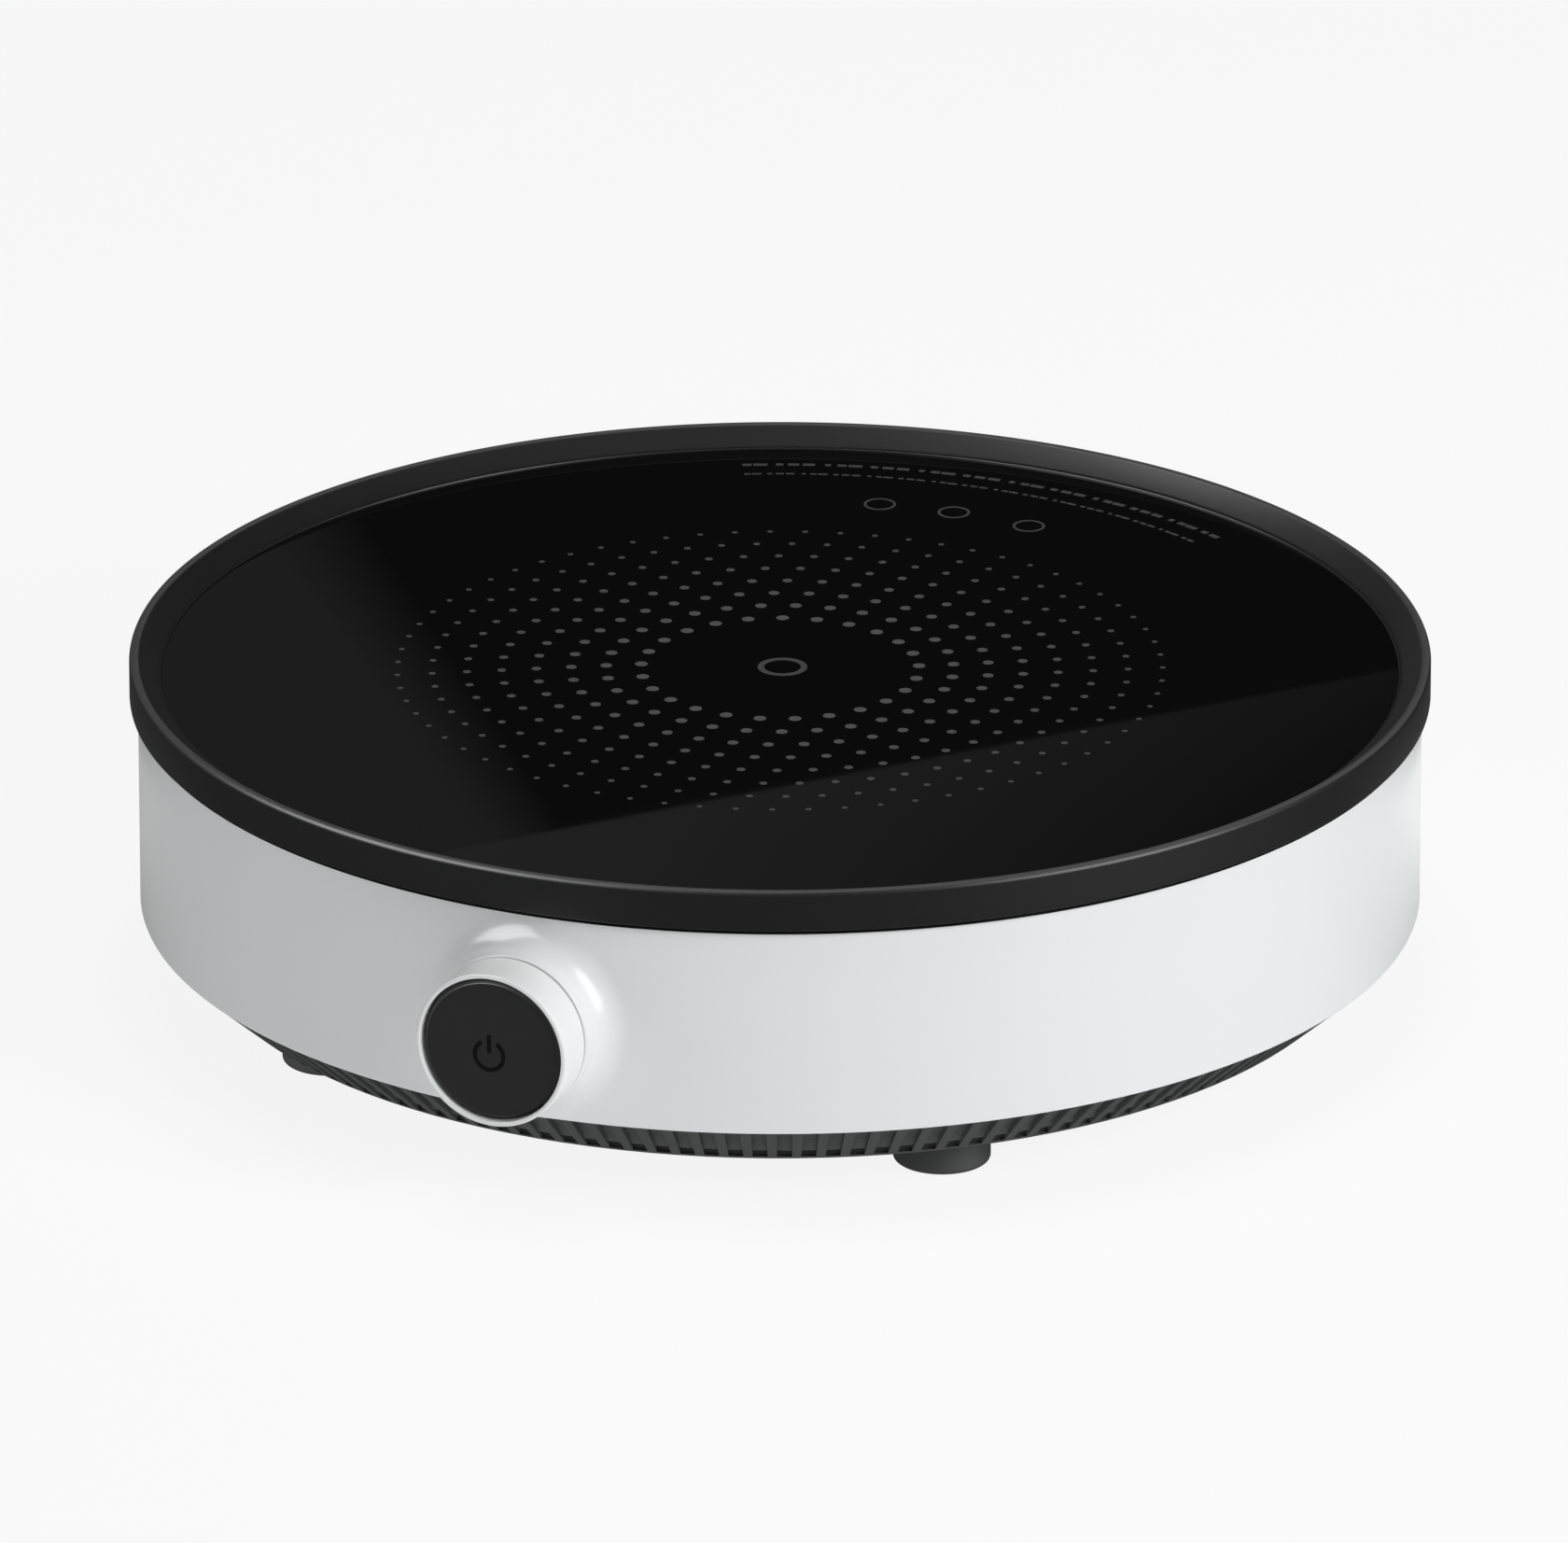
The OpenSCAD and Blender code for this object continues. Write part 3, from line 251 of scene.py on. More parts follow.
def window(height, rim_points, inner_hole):
    """A rectangular piece of the wall round an opening, from its border's heights. Each ray's
    path runs from the lower edge's rounding up to the border, in along the outer wall to the
    opening's rim, through it, and out along the inner wall. Bottom and top rays close into
    loops."""
    border = rim_points[:, 0]
    turn = np.arctan2(border[:, 0], -border[:, 1])
    bottom = height <= wall_low + wall_edge + 1e-9
    top = height >= wall_high - 1e-9
    r, z = np.hypot(border[:, 0], border[:, 1])[:, None], border[:, 2:3]
    r_low = np.where(bottom[:, None], r - wall_edge * (1 - np.cos(low_bend)), r)
    z_low = np.where(bottom[:, None], z - wall_edge * np.sin(low_bend), z)
    rounding = on_wall(r_low, turn[:, None], z_low)
    hole_turn, hole_z = inner_hole
    inner_z = np.where(bottom, wall_low, height)
    inner = on_wall(wall_in_r, spread(hole_turn, turn, 6), spread(hole_z, inner_z, 6))
    path = np.concatenate([rounding, rim_points, inner], axis=1)
    count, length = path.shape[:2]
    faces = grid_faces(count, length, True, False)
    i = np.arange(count)
    j = (i + 1) % count
    closed = (bottom & bottom[j]) | (top & top[j])
    wrap = np.stack([i * length + length - 1, i * length, j * length, j * length + length - 1], -1)
    return path.reshape(-1, 3), np.concatenate([faces, wrap[closed]])


def boss_path(rays):
    """Outer path of each ray to the boss's bore. The fillet is where a ball rolling in the
    corner of wall and boss touches them: centre + ball radius * (sin(w - wt) to the boss +
    sin(wt) to the wall) / sin w, cut off where it would pass below the wall's lower edge."""
    along, height, a = rays
    reach = boss_r + fillet_r
    x, z = reach * np.cos(a), knob_z + reach * np.sin(a)
    y = -np.sqrt((wall_r + fillet_r) ** 2 - x ** 2)
    centre = np.stack([x, y, z], -1)
    to_boss = np.stack([-np.cos(a), 0 * a, -np.sin(a)], -1)
    to_wall = -np.stack([x, y, 0 * a], -1) / (wall_r + fillet_r)
    w = np.arccos((to_boss * to_wall).sum(-1))
    low = wall_low + wall_edge
    cut = np.clip((low - z) * np.sin(w) / np.maximum(-np.sin(a) * fillet_r, 1e-9), 0, 1)
    last = 1 - np.arcsin(cut) / w
    t = last[:, None] * np.linspace(1, 0, 18)
    w = w[:, None]
    ball = (np.sin(w * (1 - t))[..., None] * to_boss[:, None]
            + np.sin(w * t)[..., None] * to_wall[:, None]) / np.sin(w)[..., None]
    fillet = centre[:, None] + fillet_r * ball
    touch_turn = np.arctan2(x, -y)
    wall = on_wall(wall_r, spread(touch_turn, along / wall_r, 12, 1.4)[:, ::-1],
                   spread(z, height, 12, 1.4)[:, ::-1])
    wall = np.where((cut > 0)[:, None, None], fillet[:, :1], wall)
    bend = np.radians(np.linspace(0, 90, 6))
    ring_r = np.concatenate([[boss_r] * 3, boss_r - boss_edge * (1 - np.cos(bend)),
                             boss_bore_r + boss_lip * (1 - np.sin(bend)), [boss_bore_r]])
    ring_u = np.concatenate([[0, 0, 0], boss_u - boss_edge * (1 - np.sin(bend)),
                             boss_u - boss_lip * (1 - np.cos(bend)), [0]])
    ring = np.stack(np.broadcast_arrays(ring_r * np.cos(a)[:, None], -ring_u,
                                        knob_z + ring_r * np.sin(a)[:, None]), -1).copy()
    for k, share in enumerate((0.25, 0.5, 0.75)):
        ring[:, k, 1] = y * (1 - share) - (boss_u - boss_edge) * share
    ring[:, -1, 1] = -np.sqrt(wall_in_r ** 2 - ring[:, -1, 0] ** 2)
    hole = np.arcsin(boss_bore_r * np.cos(a) / wall_in_r), knob_z + boss_bore_r * np.sin(a)
    return np.concatenate([wall, fillet, ring], axis=1), hole


def outlet_path(rays):
    """Outer path of each ray to the round cord outlet, and through the wall to its inner rim."""
    along, height, a = rays
    x, z = outlet_r * np.cos(a), outlet_z + outlet_r * np.sin(a)
    rim = np.arcsin(x / wall_r)
    wall = on_wall(wall_r, spread(rim, along / wall_r, 8)[:, ::-1], spread(z, height, 8)[:, ::-1])
    hole = np.arcsin(x / wall_in_r), z
    edges = np.stack([on_wall(wall_r, rim, z), on_wall(wall_in_r, hole[0], z)], 1)
    return np.concatenate([wall, edges], axis=1), hole


def plain_wall(start, end, columns):
    """The wall between two windows: its closed section, outer face up, inner face down and
    the rounded lower edge, carried round from one angle to the other."""
    up = np.linspace(wall_low + wall_edge, wall_high, wall_rows + 1)
    inner_up = up.copy()
    inner_up[0] = wall_low
    r = np.concatenate([np.full(len(up), wall_r), np.full(len(up), wall_in_r),
                        wall_r - wall_edge * (1 - np.cos(low_bend))])
    z = np.concatenate([up, inner_up[::-1], wall_low + wall_edge * (1 - np.sin(low_bend))])
    turn = np.linspace(start, end, columns + 1)
    points = on_wall(r[None], turn[:, None], z[None])
    return points.reshape(-1, 3), grid_faces(columns + 1, len(r), False, True)


boss_rays = window_rays(boss_window, knob_z)
boss_rim, boss_hole = boss_path(boss_rays)
outlet_rays = window_rays(outlet_window, outlet_z)
outlet_rim, outlet_hole = outlet_path(outlet_rays)
front = window(boss_rays[1], boss_rim, boss_hole)
back = window(outlet_rays[1], outlet_rim, outlet_hole)
back = back[0] * (-1, -1, 1), back[1]
side_start, side_end, side_columns = boss_window / wall_r, math.pi - outlet_window / wall_r, 120
right = plain_wall(side_start, side_end, side_columns)
left = plain_wall(2 * math.pi - side_end, 2 * math.pi - side_start, side_columns)
parts = (front, back, right, left)
offsets = np.cumsum([0] + [len(points) for points, _ in parts])
shell_points = np.concatenate([points for points, _ in parts])
shell_faces = np.concatenate([faces + k for (_, faces), k in zip(parts, offsets)])

white_plastic = finish("white_moulded_plastic", (0.85, 0.858, 0.866), (0.83, 0.838, 0.848),
                       roughness=0.2, spread=0.04, patch=6, grain=1400, depth=0.000002,
                       Specular_IOR_Level=0.25)
shell = piece("shell_wall", shell_points, shell_faces, white_plastic, "cooktop_body")
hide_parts("outer_shell")


# ---- Trim ring ----------------------------------------------------------------------------
# A moulded ring of black heat-proof plastic clamps the glass. Its outer wall drops over the
# shell, its crest stands above the glass, and a straight slope runs from the crest down to a
# thin lip. A painted highlight makes the top of the crest paler.
trim_r, trim_in_r, trim_skirt_r = 132.0, 125.5, 130.5
trim_low, trim_seat, trim_lip, trim_top, crest_r = 63.2, 67.5, 67.9, 71.6, 1.1
trim_edge_r, lip_r, slope_step, lip_fall = 0.3, 0.25, (2.0, 1.55), (0.25, 0.13)
crest_centre = np.array((trim_r - crest_r, trim_top - crest_r))
crest_highlight_from, crest_highlight_full = trim_top - 0.5, trim_top - 0.1


def carried(nodes, given, wanted):
    """A node that carries values between two given limits evenly to two wanted ones, and
    holds them outside."""
    node = nodes.new("ShaderNodeMapRange")
    for end, here, there in (("Min", given[0], wanted[0]), ("Max", given[1], wanted[1])):
        node.inputs["From " + end].default_value = here
        node.inputs["To " + end].default_value = there
    return node


def arc(centre, r, start, end, steps):
    """Points of a circle's arc: centre + r * (cos, sin) of evenly spaced angles in degrees."""
    a = np.radians(np.linspace(start, end, steps + 1))
    return np.stack([centre[0] + r * np.cos(a), centre[1] + r * np.sin(a)], -1)


def turned(name, profile, material, body, turns=320, closed=True, place=None, sharp=40):
    """A turned piece: its profile's (radius, height) points in millimetres are carried round
    the axis, x = r sin t and y = -r cos t. A place function then lays it where it goes."""
    profile = np.asarray(profile, float) * MM
    t = np.linspace(0, 2 * math.pi, turns, endpoint=False)[:, None]
    points = on_wall(profile[None, :, 0], t, profile[None, :, 1])
    faces = grid_faces(turns, len(profile), True, closed)
    return piece(name, points if place is None else place(points), faces, material, body, sharp)


lip_point = np.array((trim_in_r + 0.9, trim_lip + 0.25))
to_crest = crest_centre - lip_point
crest_end = (90 + math.degrees(math.atan2(to_crest[1], to_crest[0]))
             + math.degrees(math.asin(crest_r / np.hypot(*to_crest))))
trim_profile = np.concatenate([
    [[trim_in_r, trim_seat], [trim_skirt_r, trim_seat], [trim_skirt_r, trim_low]],
    arc((trim_r - trim_edge_r, trim_low + trim_edge_r), trim_edge_r, -90, 0, 5),
    [[trim_r, trim_low + 2], [trim_r, trim_low + 4.5]],
    arc(crest_centre, crest_r, 0, crest_end, 16),
    [lip_point + slope_step, lip_point, lip_point - lip_fall],
    arc((trim_in_r + lip_r, trim_lip - lip_r), lip_r, 90, 180, 6)])
trim_black = finish("trim_black_plastic", (0.0125, 0.0125, 0.0132), (0.015, 0.015, 0.016),
                    roughness=0.36, spread=0.12, patch=14, grain=2200, depth=0.00002,
                    Specular_IOR_Level=0.35)
nodes, link = trim_black.node_tree.nodes, trim_black.node_tree.links.new
# Painted highlight: the base colour turns paler towards the top of the crest, by height.
where, split = nodes.new("ShaderNodeTexCoord"), nodes.new("ShaderNodeSeparateXYZ")
crest_highlight_mask = carried(nodes, (crest_highlight_from * MM, crest_highlight_full * MM), (0.0, 0.9))
crest_highlight_mask.interpolation_type = "SMOOTHSTEP"
crest_highlight_mix = nodes.new("ShaderNodeMix")
crest_highlight_mix.data_type = "RGBA"
crest_highlight_mix.inputs[7].default_value = (0.09, 0.09, 0.091, 1)
grain_node = next(n for n in nodes if n.type == "GROUP")
link(where.outputs["Object"], split.inputs[0])
link(split.outputs["Z"], crest_highlight_mask.inputs["Value"])
link(crest_highlight_mask.outputs["Result"], crest_highlight_mix.inputs["Factor"])
link(grain_node.outputs["Colour"], crest_highlight_mix.inputs[6])
link(crest_highlight_mix.outputs[2], nodes["Principled BSDF"].inputs["Base Color"])
trim = turned("glass_trim", trim_profile, trim_black, "cooktop_body", turns=480)
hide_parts("trim_ring")

# A thin near-black ring under the skirt, hugging the shell, is painted shadow: it shows as the dark line
# under the trim.
shadow_lip_black = finish("shadow_lip_black", (0.0015, 0.0015, 0.0015), (0.002, 0.002, 0.002),
                    roughness=0.8, spread=0.05, patch=40, grain=2000, depth=0.00001,
                    Specular_IOR_Level=0.1)
shadow_lip_in_r, shadow_lip_r, shadow_lip_low, shadow_lip_high = 130.32, 131.0, 62.2, trim_low - 0.01
shadow_lip_profile = [[shadow_lip_in_r, shadow_lip_low], [shadow_lip_r - 0.1, shadow_lip_low], [shadow_lip_r, shadow_lip_low + 0.1],
                [shadow_lip_r, shadow_lip_high], [shadow_lip_in_r, shadow_lip_high]]
shadow_lip = turned("skirt_shadow_lip", shadow_lip_profile, shadow_lip_black, "cooktop_body", turns=320)


# ---- Glass plate --------------------------------------------------------------------------
# A polished plate of black glass ceramic on a silicone gasket, its edge ground to a facet
# under the trim's lip, which holds it down.
glass_r, facet_r, glass_low, glass_top = 127.6, 125.4, 63.5, 67.5
glass_profile = np.concatenate([
    [[0, glass_low], [glass_r - 0.3, glass_low], [glass_r, glass_low + 0.3],
     [glass_r, glass_top - 0.5], [facet_r, glass_top]],
    np.stack([np.linspace(120, 0, 9), np.full(9, glass_top)], -1)])
black_glass = finish("black_glass_ceramic", (0.0020, 0.0020, 0.0021), (0.0026, 0.0026, 0.0027),
                     roughness=0.018, spread=0.01, patch=9, grain=60, depth=0.0)
glass = turned("glass_top", glass_profile, black_glass, "cooktop_body", turns=256, closed=False,
               sharp=5)
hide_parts("glass_plate")


# ---- Cooking zone print -------------------------------------------------------------------
# Grey enamel fired onto the glass: eight rings of dots that shrink outwards and carry six
# more dots each ring, a plain ring at the centre, and at the far side three small rings
# inside two arcs of dashes.
ring_pitch = 7.06
first_ring, last_ring = 4, 11
first_dot_r, last_dot_r, dot_sides = 1.3, 0.6, 16
enamel_top, enamel_low = (glass_top + 0.03) * MM, (glass_top - 0.01) * MM
fade_from, fade_to, outer_share = 28, 78, 0.7


def raised_shapes(outlines):
    """Flat closed outlines of equally many points, each given a top face, a rim down to the
    glass and a bottom face: one line of points above another, closed at both ends."""
    count, sides = outlines.shape[:2]
    top = np.concatenate([outlines, np.full((count, sides, 1), enamel_top)], -1)
    low = np.concatenate([outlines, np.full((count, sides, 1), enamel_low)], -1)
    points = np.stack([top, low], 1)
    start = (np.arange(count) * 2 * sides)[:, None, None]
    k = np.arange(sides)
    rim = np.stack([k, k + sides, (k + 1) % sides + sides, (k + 1) % sides], -1)
    caps = np.stack([k, k[::-1] + sides])
    rims = (start + rim[None]).reshape(-1, 4).tolist()
    return points.reshape(-1, 3), rims + (start + caps[None]).reshape(-1, sides).tolist()


def print_piece(name, outlines, material):
    """One raised print as a piece of the glass."""
    points, faces = raised_shapes(outlines)
    mesh = bpy.data.meshes.new(name)
    mesh.from_pydata(points.tolist(), [], faces)
    mesh.materials.append(material)
    thing = bpy.data.objects.new(name, mesh)
    bpy.context.collection.objects.link(thing)
    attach(thing, "cooktop_body")


rings = np.arange(first_ring, last_ring + 1)
dot_ring = np.repeat(rings, 6 * rings + 1)
dot_number = np.concatenate([np.arange(6 * k + 1) for k in rings])
dot_turn = 2 * math.pi * dot_number / (6 * dot_ring + 1)
dot_r = dot_ring * ring_pitch * MM
dot_size = np.interp(dot_ring, (first_ring, last_ring), (first_dot_r, last_dot_r)) * MM
dot_edge = np.linspace(0, 2 * math.pi, dot_sides, endpoint=False)
round_dot = np.stack([np.cos(dot_edge), np.sin(dot_edge)], -1)
dot_centre = np.stack([dot_r * np.sin(dot_turn), -dot_r * np.cos(dot_turn)], -1)
dots = dot_centre[:, None] + dot_size[:, None, None] * round_dot

enamel = finish("grey_enamel", (0.105, 0.105, 0.107), (0.085, 0.085, 0.087),
                roughness=0.5, spread=0.1, patch=40, grain=1500, depth=0.0)
nodes, link = enamel.node_tree.nodes, enamel.node_tree.links.new
where, flat, reach = (nodes.new("ShaderNodeTexCoord"), nodes.new("ShaderNodeVectorMath"),
                      nodes.new("ShaderNodeVectorMath"))
flat.operation = "MULTIPLY"
flat.inputs[1].default_value = (1, 1, 0)
reach.operation = "LENGTH"
fade = carried(nodes, (fade_from * MM, fade_to * MM), (1.0, outer_share))
dim = nodes.new("ShaderNodeMix")
dim.data_type = "RGBA"
dim.blend_type = "MULTIPLY"
dim.inputs["Factor"].default_value = 1
grain_node = next(n for n in nodes if n.type == "GROUP")
link(where.outputs["Object"], flat.inputs[0])
link(flat.outputs["Vector"], reach.inputs[0])
link(reach.outputs["Value"], fade.inputs["Value"])
link(grain_node.outputs["Colour"], dim.inputs[6])
link(fade.outputs["Result"], dim.inputs[7])
link(dim.outputs[2], nodes["Principled BSDF"].inputs["Base Color"])
print_piece("zone_dots", dots, enamel)


def band(radius, width, middle, start, end, sides=2):
    """A flat strip along an arc of a circle about a point of the glass, as a closed outline."""
    t = np.radians(np.linspace(start, end, sides))
    outer = (radius + width / 2) * np.stack([np.sin(t), -np.cos(t)], -1)
    inner = (radius - width / 2) * np.stack([np.sin(t), -np.cos(t)], -1)
    return (np.concatenate([outer, inner[::-1]]) + middle) * MM


def ring_of_bands(radius, width, middle, pieces):
    """A whole plain ring made of short strips end to end."""
    edges = np.linspace(0, 360, pieces + 1)
    return [band(radius, width, middle, a, b) for a, b in zip(edges[:-1], edges[1:])]


marks = ring_of_bands(4.4, 1.3, (0.2, 0.8), 40)
small_ring_reach, small_ring_turns = 95.8, (-169.8, -179.4, 170.2)
for turn in np.radians(small_ring_turns):
    place = (small_ring_reach * math.sin(turn), -small_ring_reach * math.cos(turn))
    marks += ring_of_bands(3.1, 0.55, place, 28)

# Each row of dashes: its radius, the dashes' width, their number, and its ends in degrees.
dash_rows = ((116.8, 1.2, 34, 152.0, 207.2), (111.4, 0.7, 46, 152.8, 207.0))
dash_share, dash_lengths = 0.52, (1.35, 0.9, 1.7, 1.1, 0.7, 1.5)
for radius, width, count, start, end in dash_rows:
    step = (end - start) / count
    for k in range(count):
        length = dash_share * step * dash_lengths[k % len(dash_lengths)]
        marks.append(band(radius, width, (0, 0), start + k * step, start + k * step + length))
enamel_dim = finish("grey_enamel_dim", (0.07, 0.07, 0.071), (0.056, 0.056, 0.057),
                    roughness=0.5, spread=0.1, patch=40, grain=1500, depth=0.0)
print_piece("plain_marks", np.array(marks), enamel_dim)


# ---- Feet ---------------------------------------------------------------------------------
# Four short round feet moulded in grey-black rubber, each held by a barbed stem that is
# pushed through the base's floor.
foot_r, foot_h, foot_edge_r = 9.8, 9.3, 1
stem_r, barb_r, barb_low, barb_top = 3, 3.9, foot_h + 2.3, foot_h + 4
foot_profile = np.concatenate([
    [[0, 0]], arc((foot_r - foot_edge_r, foot_edge_r), foot_edge_r, -90, 0, 6),
    [[foot_r, foot_h], [stem_r, foot_h], [stem_r, barb_low], [barb_r, barb_low],
     [stem_r, barb_top], [0, barb_top]]])
foot_rubber = finish("foot_rubber", (0.05, 0.051, 0.052), (0.06, 0.061, 0.062),
                     roughness=0.62, spread=0.15, patch=60, grain=2600, depth=0.00006)
for corner in ("front_right", "front_left", "rear_left", "rear_right"):
    low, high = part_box("foot_" + corner)
    middle = np.array([(low[0] + high[0]) / 2, (low[1] + high[1]) / 2, 0])
    foot = turned("rubber_foot_" + corner, foot_profile, foot_rubber, "cooktop_body", turns=72,
                  closed=False, place=lambda p, m=middle: p + m)
    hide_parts("foot_" + corner)


# ---- Knob ring ----------------------------------------------------------------------------
# The ring that sets the power, moulded in glossy white ABS. It turns on the barrel's nose; its
# front edge is rounded and a thin lip stands round the button.
def on_knob_axis(points):
    """Lays a turned piece on the knob's axis: its height runs out towards the front."""
    return np.stack([points[..., 0], -points[..., 2], knob_z + points[..., 1]], -1)


ring_r, ring_back, ring_front = 16.1, 138.5, 148.3
nose_r, socket_r, lip_in_r, web_back, web_front = 8.05, 14.4, 15.1, 139.6, 141.85
back_edge_r, front_edge_r, lip_edge_r = 0.35, 0.5, 0.3
ring_profile = np.concatenate([
    [[nose_r, web_back], [socket_r, web_back], [socket_r, ring_back]],
    arc((ring_r - back_edge_r, ring_back + back_edge_r), back_edge_r, -90, 0, 5),
    [[ring_r, 141], [ring_r, 145]],
    arc((ring_r - front_edge_r, ring_front - front_edge_r), front_edge_r, 0, 90, 8),
    arc((lip_in_r + lip_edge_r, ring_front - lip_edge_r), lip_edge_r, 90, 180, 5),
    [[lip_in_r, web_front], [nose_r, web_front]]])
white_knob = finish("white_knob_plastic", (0.88, 0.885, 0.89), (0.86, 0.865, 0.87),
                    roughness=0.12, spread=0.03, patch=20, grain=1600, depth=0.000002,
                    Specular_IOR_Level=0.2)
ring = turned("power_ring", ring_profile, white_knob, "knob", turns=192, place=on_knob_axis)
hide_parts("knob_ring")


# ---- Power button -------------------------------------------------------------------------
# A flat disc moulded in satin black plastic inside the ring, with a bevelled edge. It slides
# along the knob's axis. The standby mark on it is printed.
button_r, button_back, button_front = 14.65, 146.0, 147.6
bevel_back, bevel_in, bevel_r = 0.75, 0.85, 0.25
button_profile = np.concatenate([
    [[0, button_back], [button_r, button_back], [button_r, button_front - bevel_back]],
    arc((button_r - bevel_in, button_front - bevel_r), bevel_r, 50, 90, 4),
    np.stack([np.linspace(12, 0, 5), np.full(5, button_front)], -1)])
button_black = finish("button_black_plastic", (0.0215, 0.0215, 0.022), (0.024, 0.024, 0.0245),
                      roughness=0.33, spread=0.08, patch=40, grain=3000, depth=0.00002)
button = turned("power_button_disc", button_profile, button_black, "power_button", turns=160,
                closed=False, place=on_knob_axis, sharp=20)
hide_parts("button_cover")

mark_r, mark_w, gap_turn, bar_low, bar_high = 3.05, 0.9, 32, 0.5, 4.3
mark_shift, mark_sunk, mark_proud = np.array((-0.5, -1.3)), 0.02, 0.03
ring_outer = arc((0, 0), mark_r + mark_w / 2, 90 + gap_turn, 450 - gap_turn, 48)
ring_inner = arc((0, 0), mark_r - mark_w / 2, 90 + gap_turn, 450 - gap_turn, 48)
bar_left = np.array([[-mark_w / 2, bar_low], [-mark_w / 2, bar_high]])
bar_right = bar_left * (-1, 1)


def face_print(strip_a, strip_b, name, material):
    """A flat printed stroke on the button's face between two lines of points, closed round its
    edges, standing a hair above the face."""
    flat = np.stack([strip_a, strip_b], 1) + mark_shift
    layers = [np.concatenate([flat, np.full((*flat.shape[:2], 1), h)], -1)
              for h in (button_front - mark_sunk, button_front + mark_proud)]
    section = np.concatenate([layers[0], layers[1][:, ::-1]], 1) * MM
    faces = grid_faces(len(section), 4, False, True).tolist()
    end = 4 * (len(section) - 1)
    faces += [[0, 1, 2, 3], [end + 3, end + 2, end + 1, end]]
    mesh = bpy.data.meshes.new(name)
    mesh.from_pydata(on_knob_axis(section).reshape(-1, 3).tolist(), [], faces)
    shape = bmesh.new()
    shape.from_mesh(mesh)
    bmesh.ops.recalc_face_normals(shape, faces=shape.faces)
    shape.to_mesh(mesh)
    shape.free()
    mesh.materials.append(material)
    thing = bpy.data.objects.new(name, mesh)
    bpy.context.collection.objects.link(thing)
    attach(thing, "power_button")


mark_black = finish("mark_black_ink", (0.0012, 0.0012, 0.0012), (0.0016, 0.0016, 0.0016),
                    roughness=0.6, spread=0.05, patch=50, grain=2000, depth=0.0,
                    Specular_IOR_Level=0.1)
face_print(ring_outer, ring_inner, "standby_mark_ring", mark_black)
face_print(bar_left, bar_right, "standby_mark_bar", mark_black)


# ---- Return spring ------------------------------------------------------------------------
# A helix of round spring steel wire about the button's stem. It stands on the barrel's plate
# and bears on the stem's collar.
spring_r, wire_r, spring_turns = 8 * MM, 0.4 * MM, 5
steps_per_turn, wire_sides = 40, 12
spring_box = np.array(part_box("button_spring"))
spring_back, spring_front = -spring_box[1, 1], -spring_box[0, 1]
climb = spring_front - spring_back - 2 * wire_r
turned_share = np.linspace(0, 1, steps_per_turn * spring_turns + 1)
turned_share = np.concatenate([[0], turned_share, [1]])[:, None]
wire = np.full_like(turned_share, wire_r)
wire[[0, -1]] = 0
round_wire = np.linspace(0, 2 * math.pi, wire_sides, endpoint=False)
winding = 2 * math.pi * spring_turns * turned_share
reach = spring_r + wire * np.cos(round_wire)
coils = np.stack([reach * np.cos(winding), reach * np.sin(winding),
                  spring_back + wire_r + climb * turned_share + wire * np.sin(round_wire)], -1)
spring_steel = finish("spring_steel", (0.42, 0.43, 0.45), roughness=0.28, patch=400, Metallic=1.0)
spring = piece("return_spring", on_knob_axis(coils),
               grid_faces(len(coils), wire_sides, False, True), spring_steel, "cooktop_body")
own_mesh(spring)
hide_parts("button_spring")


# ---- Cord gland ---------------------------------------------------------------------------
# A gland moulded in black nylon, screwed into the back wall by its nut: a rounded flange
# outside and a neck through the wall. Its bore is open, with no cord in it.
gland_bore_r, neck_r, flange_r = 3.5, 6.0, 8.5
gland_in, flange_in, gland_out, flange_edge_r, mouth_r = 118.3, 129.4, 133.3, 0.8, 0.5
gland_profile = np.concatenate([
    [[gland_bore_r, gland_in], [neck_r, gland_in], [neck_r, flange_in], [flange_r, flange_in]],
    arc((flange_r - flange_edge_r, gland_out - flange_edge_r), flange_edge_r, 0, 90, 6),
    arc((gland_bore_r + mouth_r, gland_out - mouth_r), mouth_r, 90, 180, 5)])
gland_black = finish("gland_black_nylon", (0.016, 0.016, 0.017), (0.02, 0.02, 0.021),
                     roughness=0.5, spread=0.12, patch=50, grain=2400, depth=0.00004)
gland = turned("cord_gland_flange", gland_profile, gland_black, "cooktop_body", turns=96,
               place=lambda p: np.stack([-p[..., 0], p[..., 2], outlet_z + p[..., 1]], -1))
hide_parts("cord_gland")


# ---- Vent ring ----------------------------------------------------------------------------
# The base is one moulding in grey-black plastic with a fine grain, and keeps its own shape. A
# turned band closes the upper part of every slot between its ribs, flush with their panels,
# and a dark ring close behind the open part is painted shade inside the slots.
base_black = finish("base_black_plastic", (0.09, 0.092, 0.093), (0.074, 0.076, 0.077),
                    roughness=0.55, spread=0.15, patch=45, grain=1800, depth=0.00006)

# Places on the slope are the share of the way up it and the depth behind the ribs.
vent_foot, vent_top = np.array((118.6, 9.3)), np.array((130.0, 19.3))
vent_out = np.array((vent_top[1] - vent_foot[1], vent_foot[0] - vent_top[0]))
vent_out = vent_out / np.hypot(*vent_out)
band_profile = np.array([vent_foot + s * (vent_top - vent_foot) - n * vent_out for s, n in (
    (0.55, 1.17), (0.42, 1.1), (0.35, 0.92), (0.27, 0.5), (0.232, 0.5), (0.215, 0.9), (0.215, 2.4),
    (0.55, 2.4))])
panels = turned("vent_band", band_profile, base_black, "cooktop_body", turns=320, sharp=20)
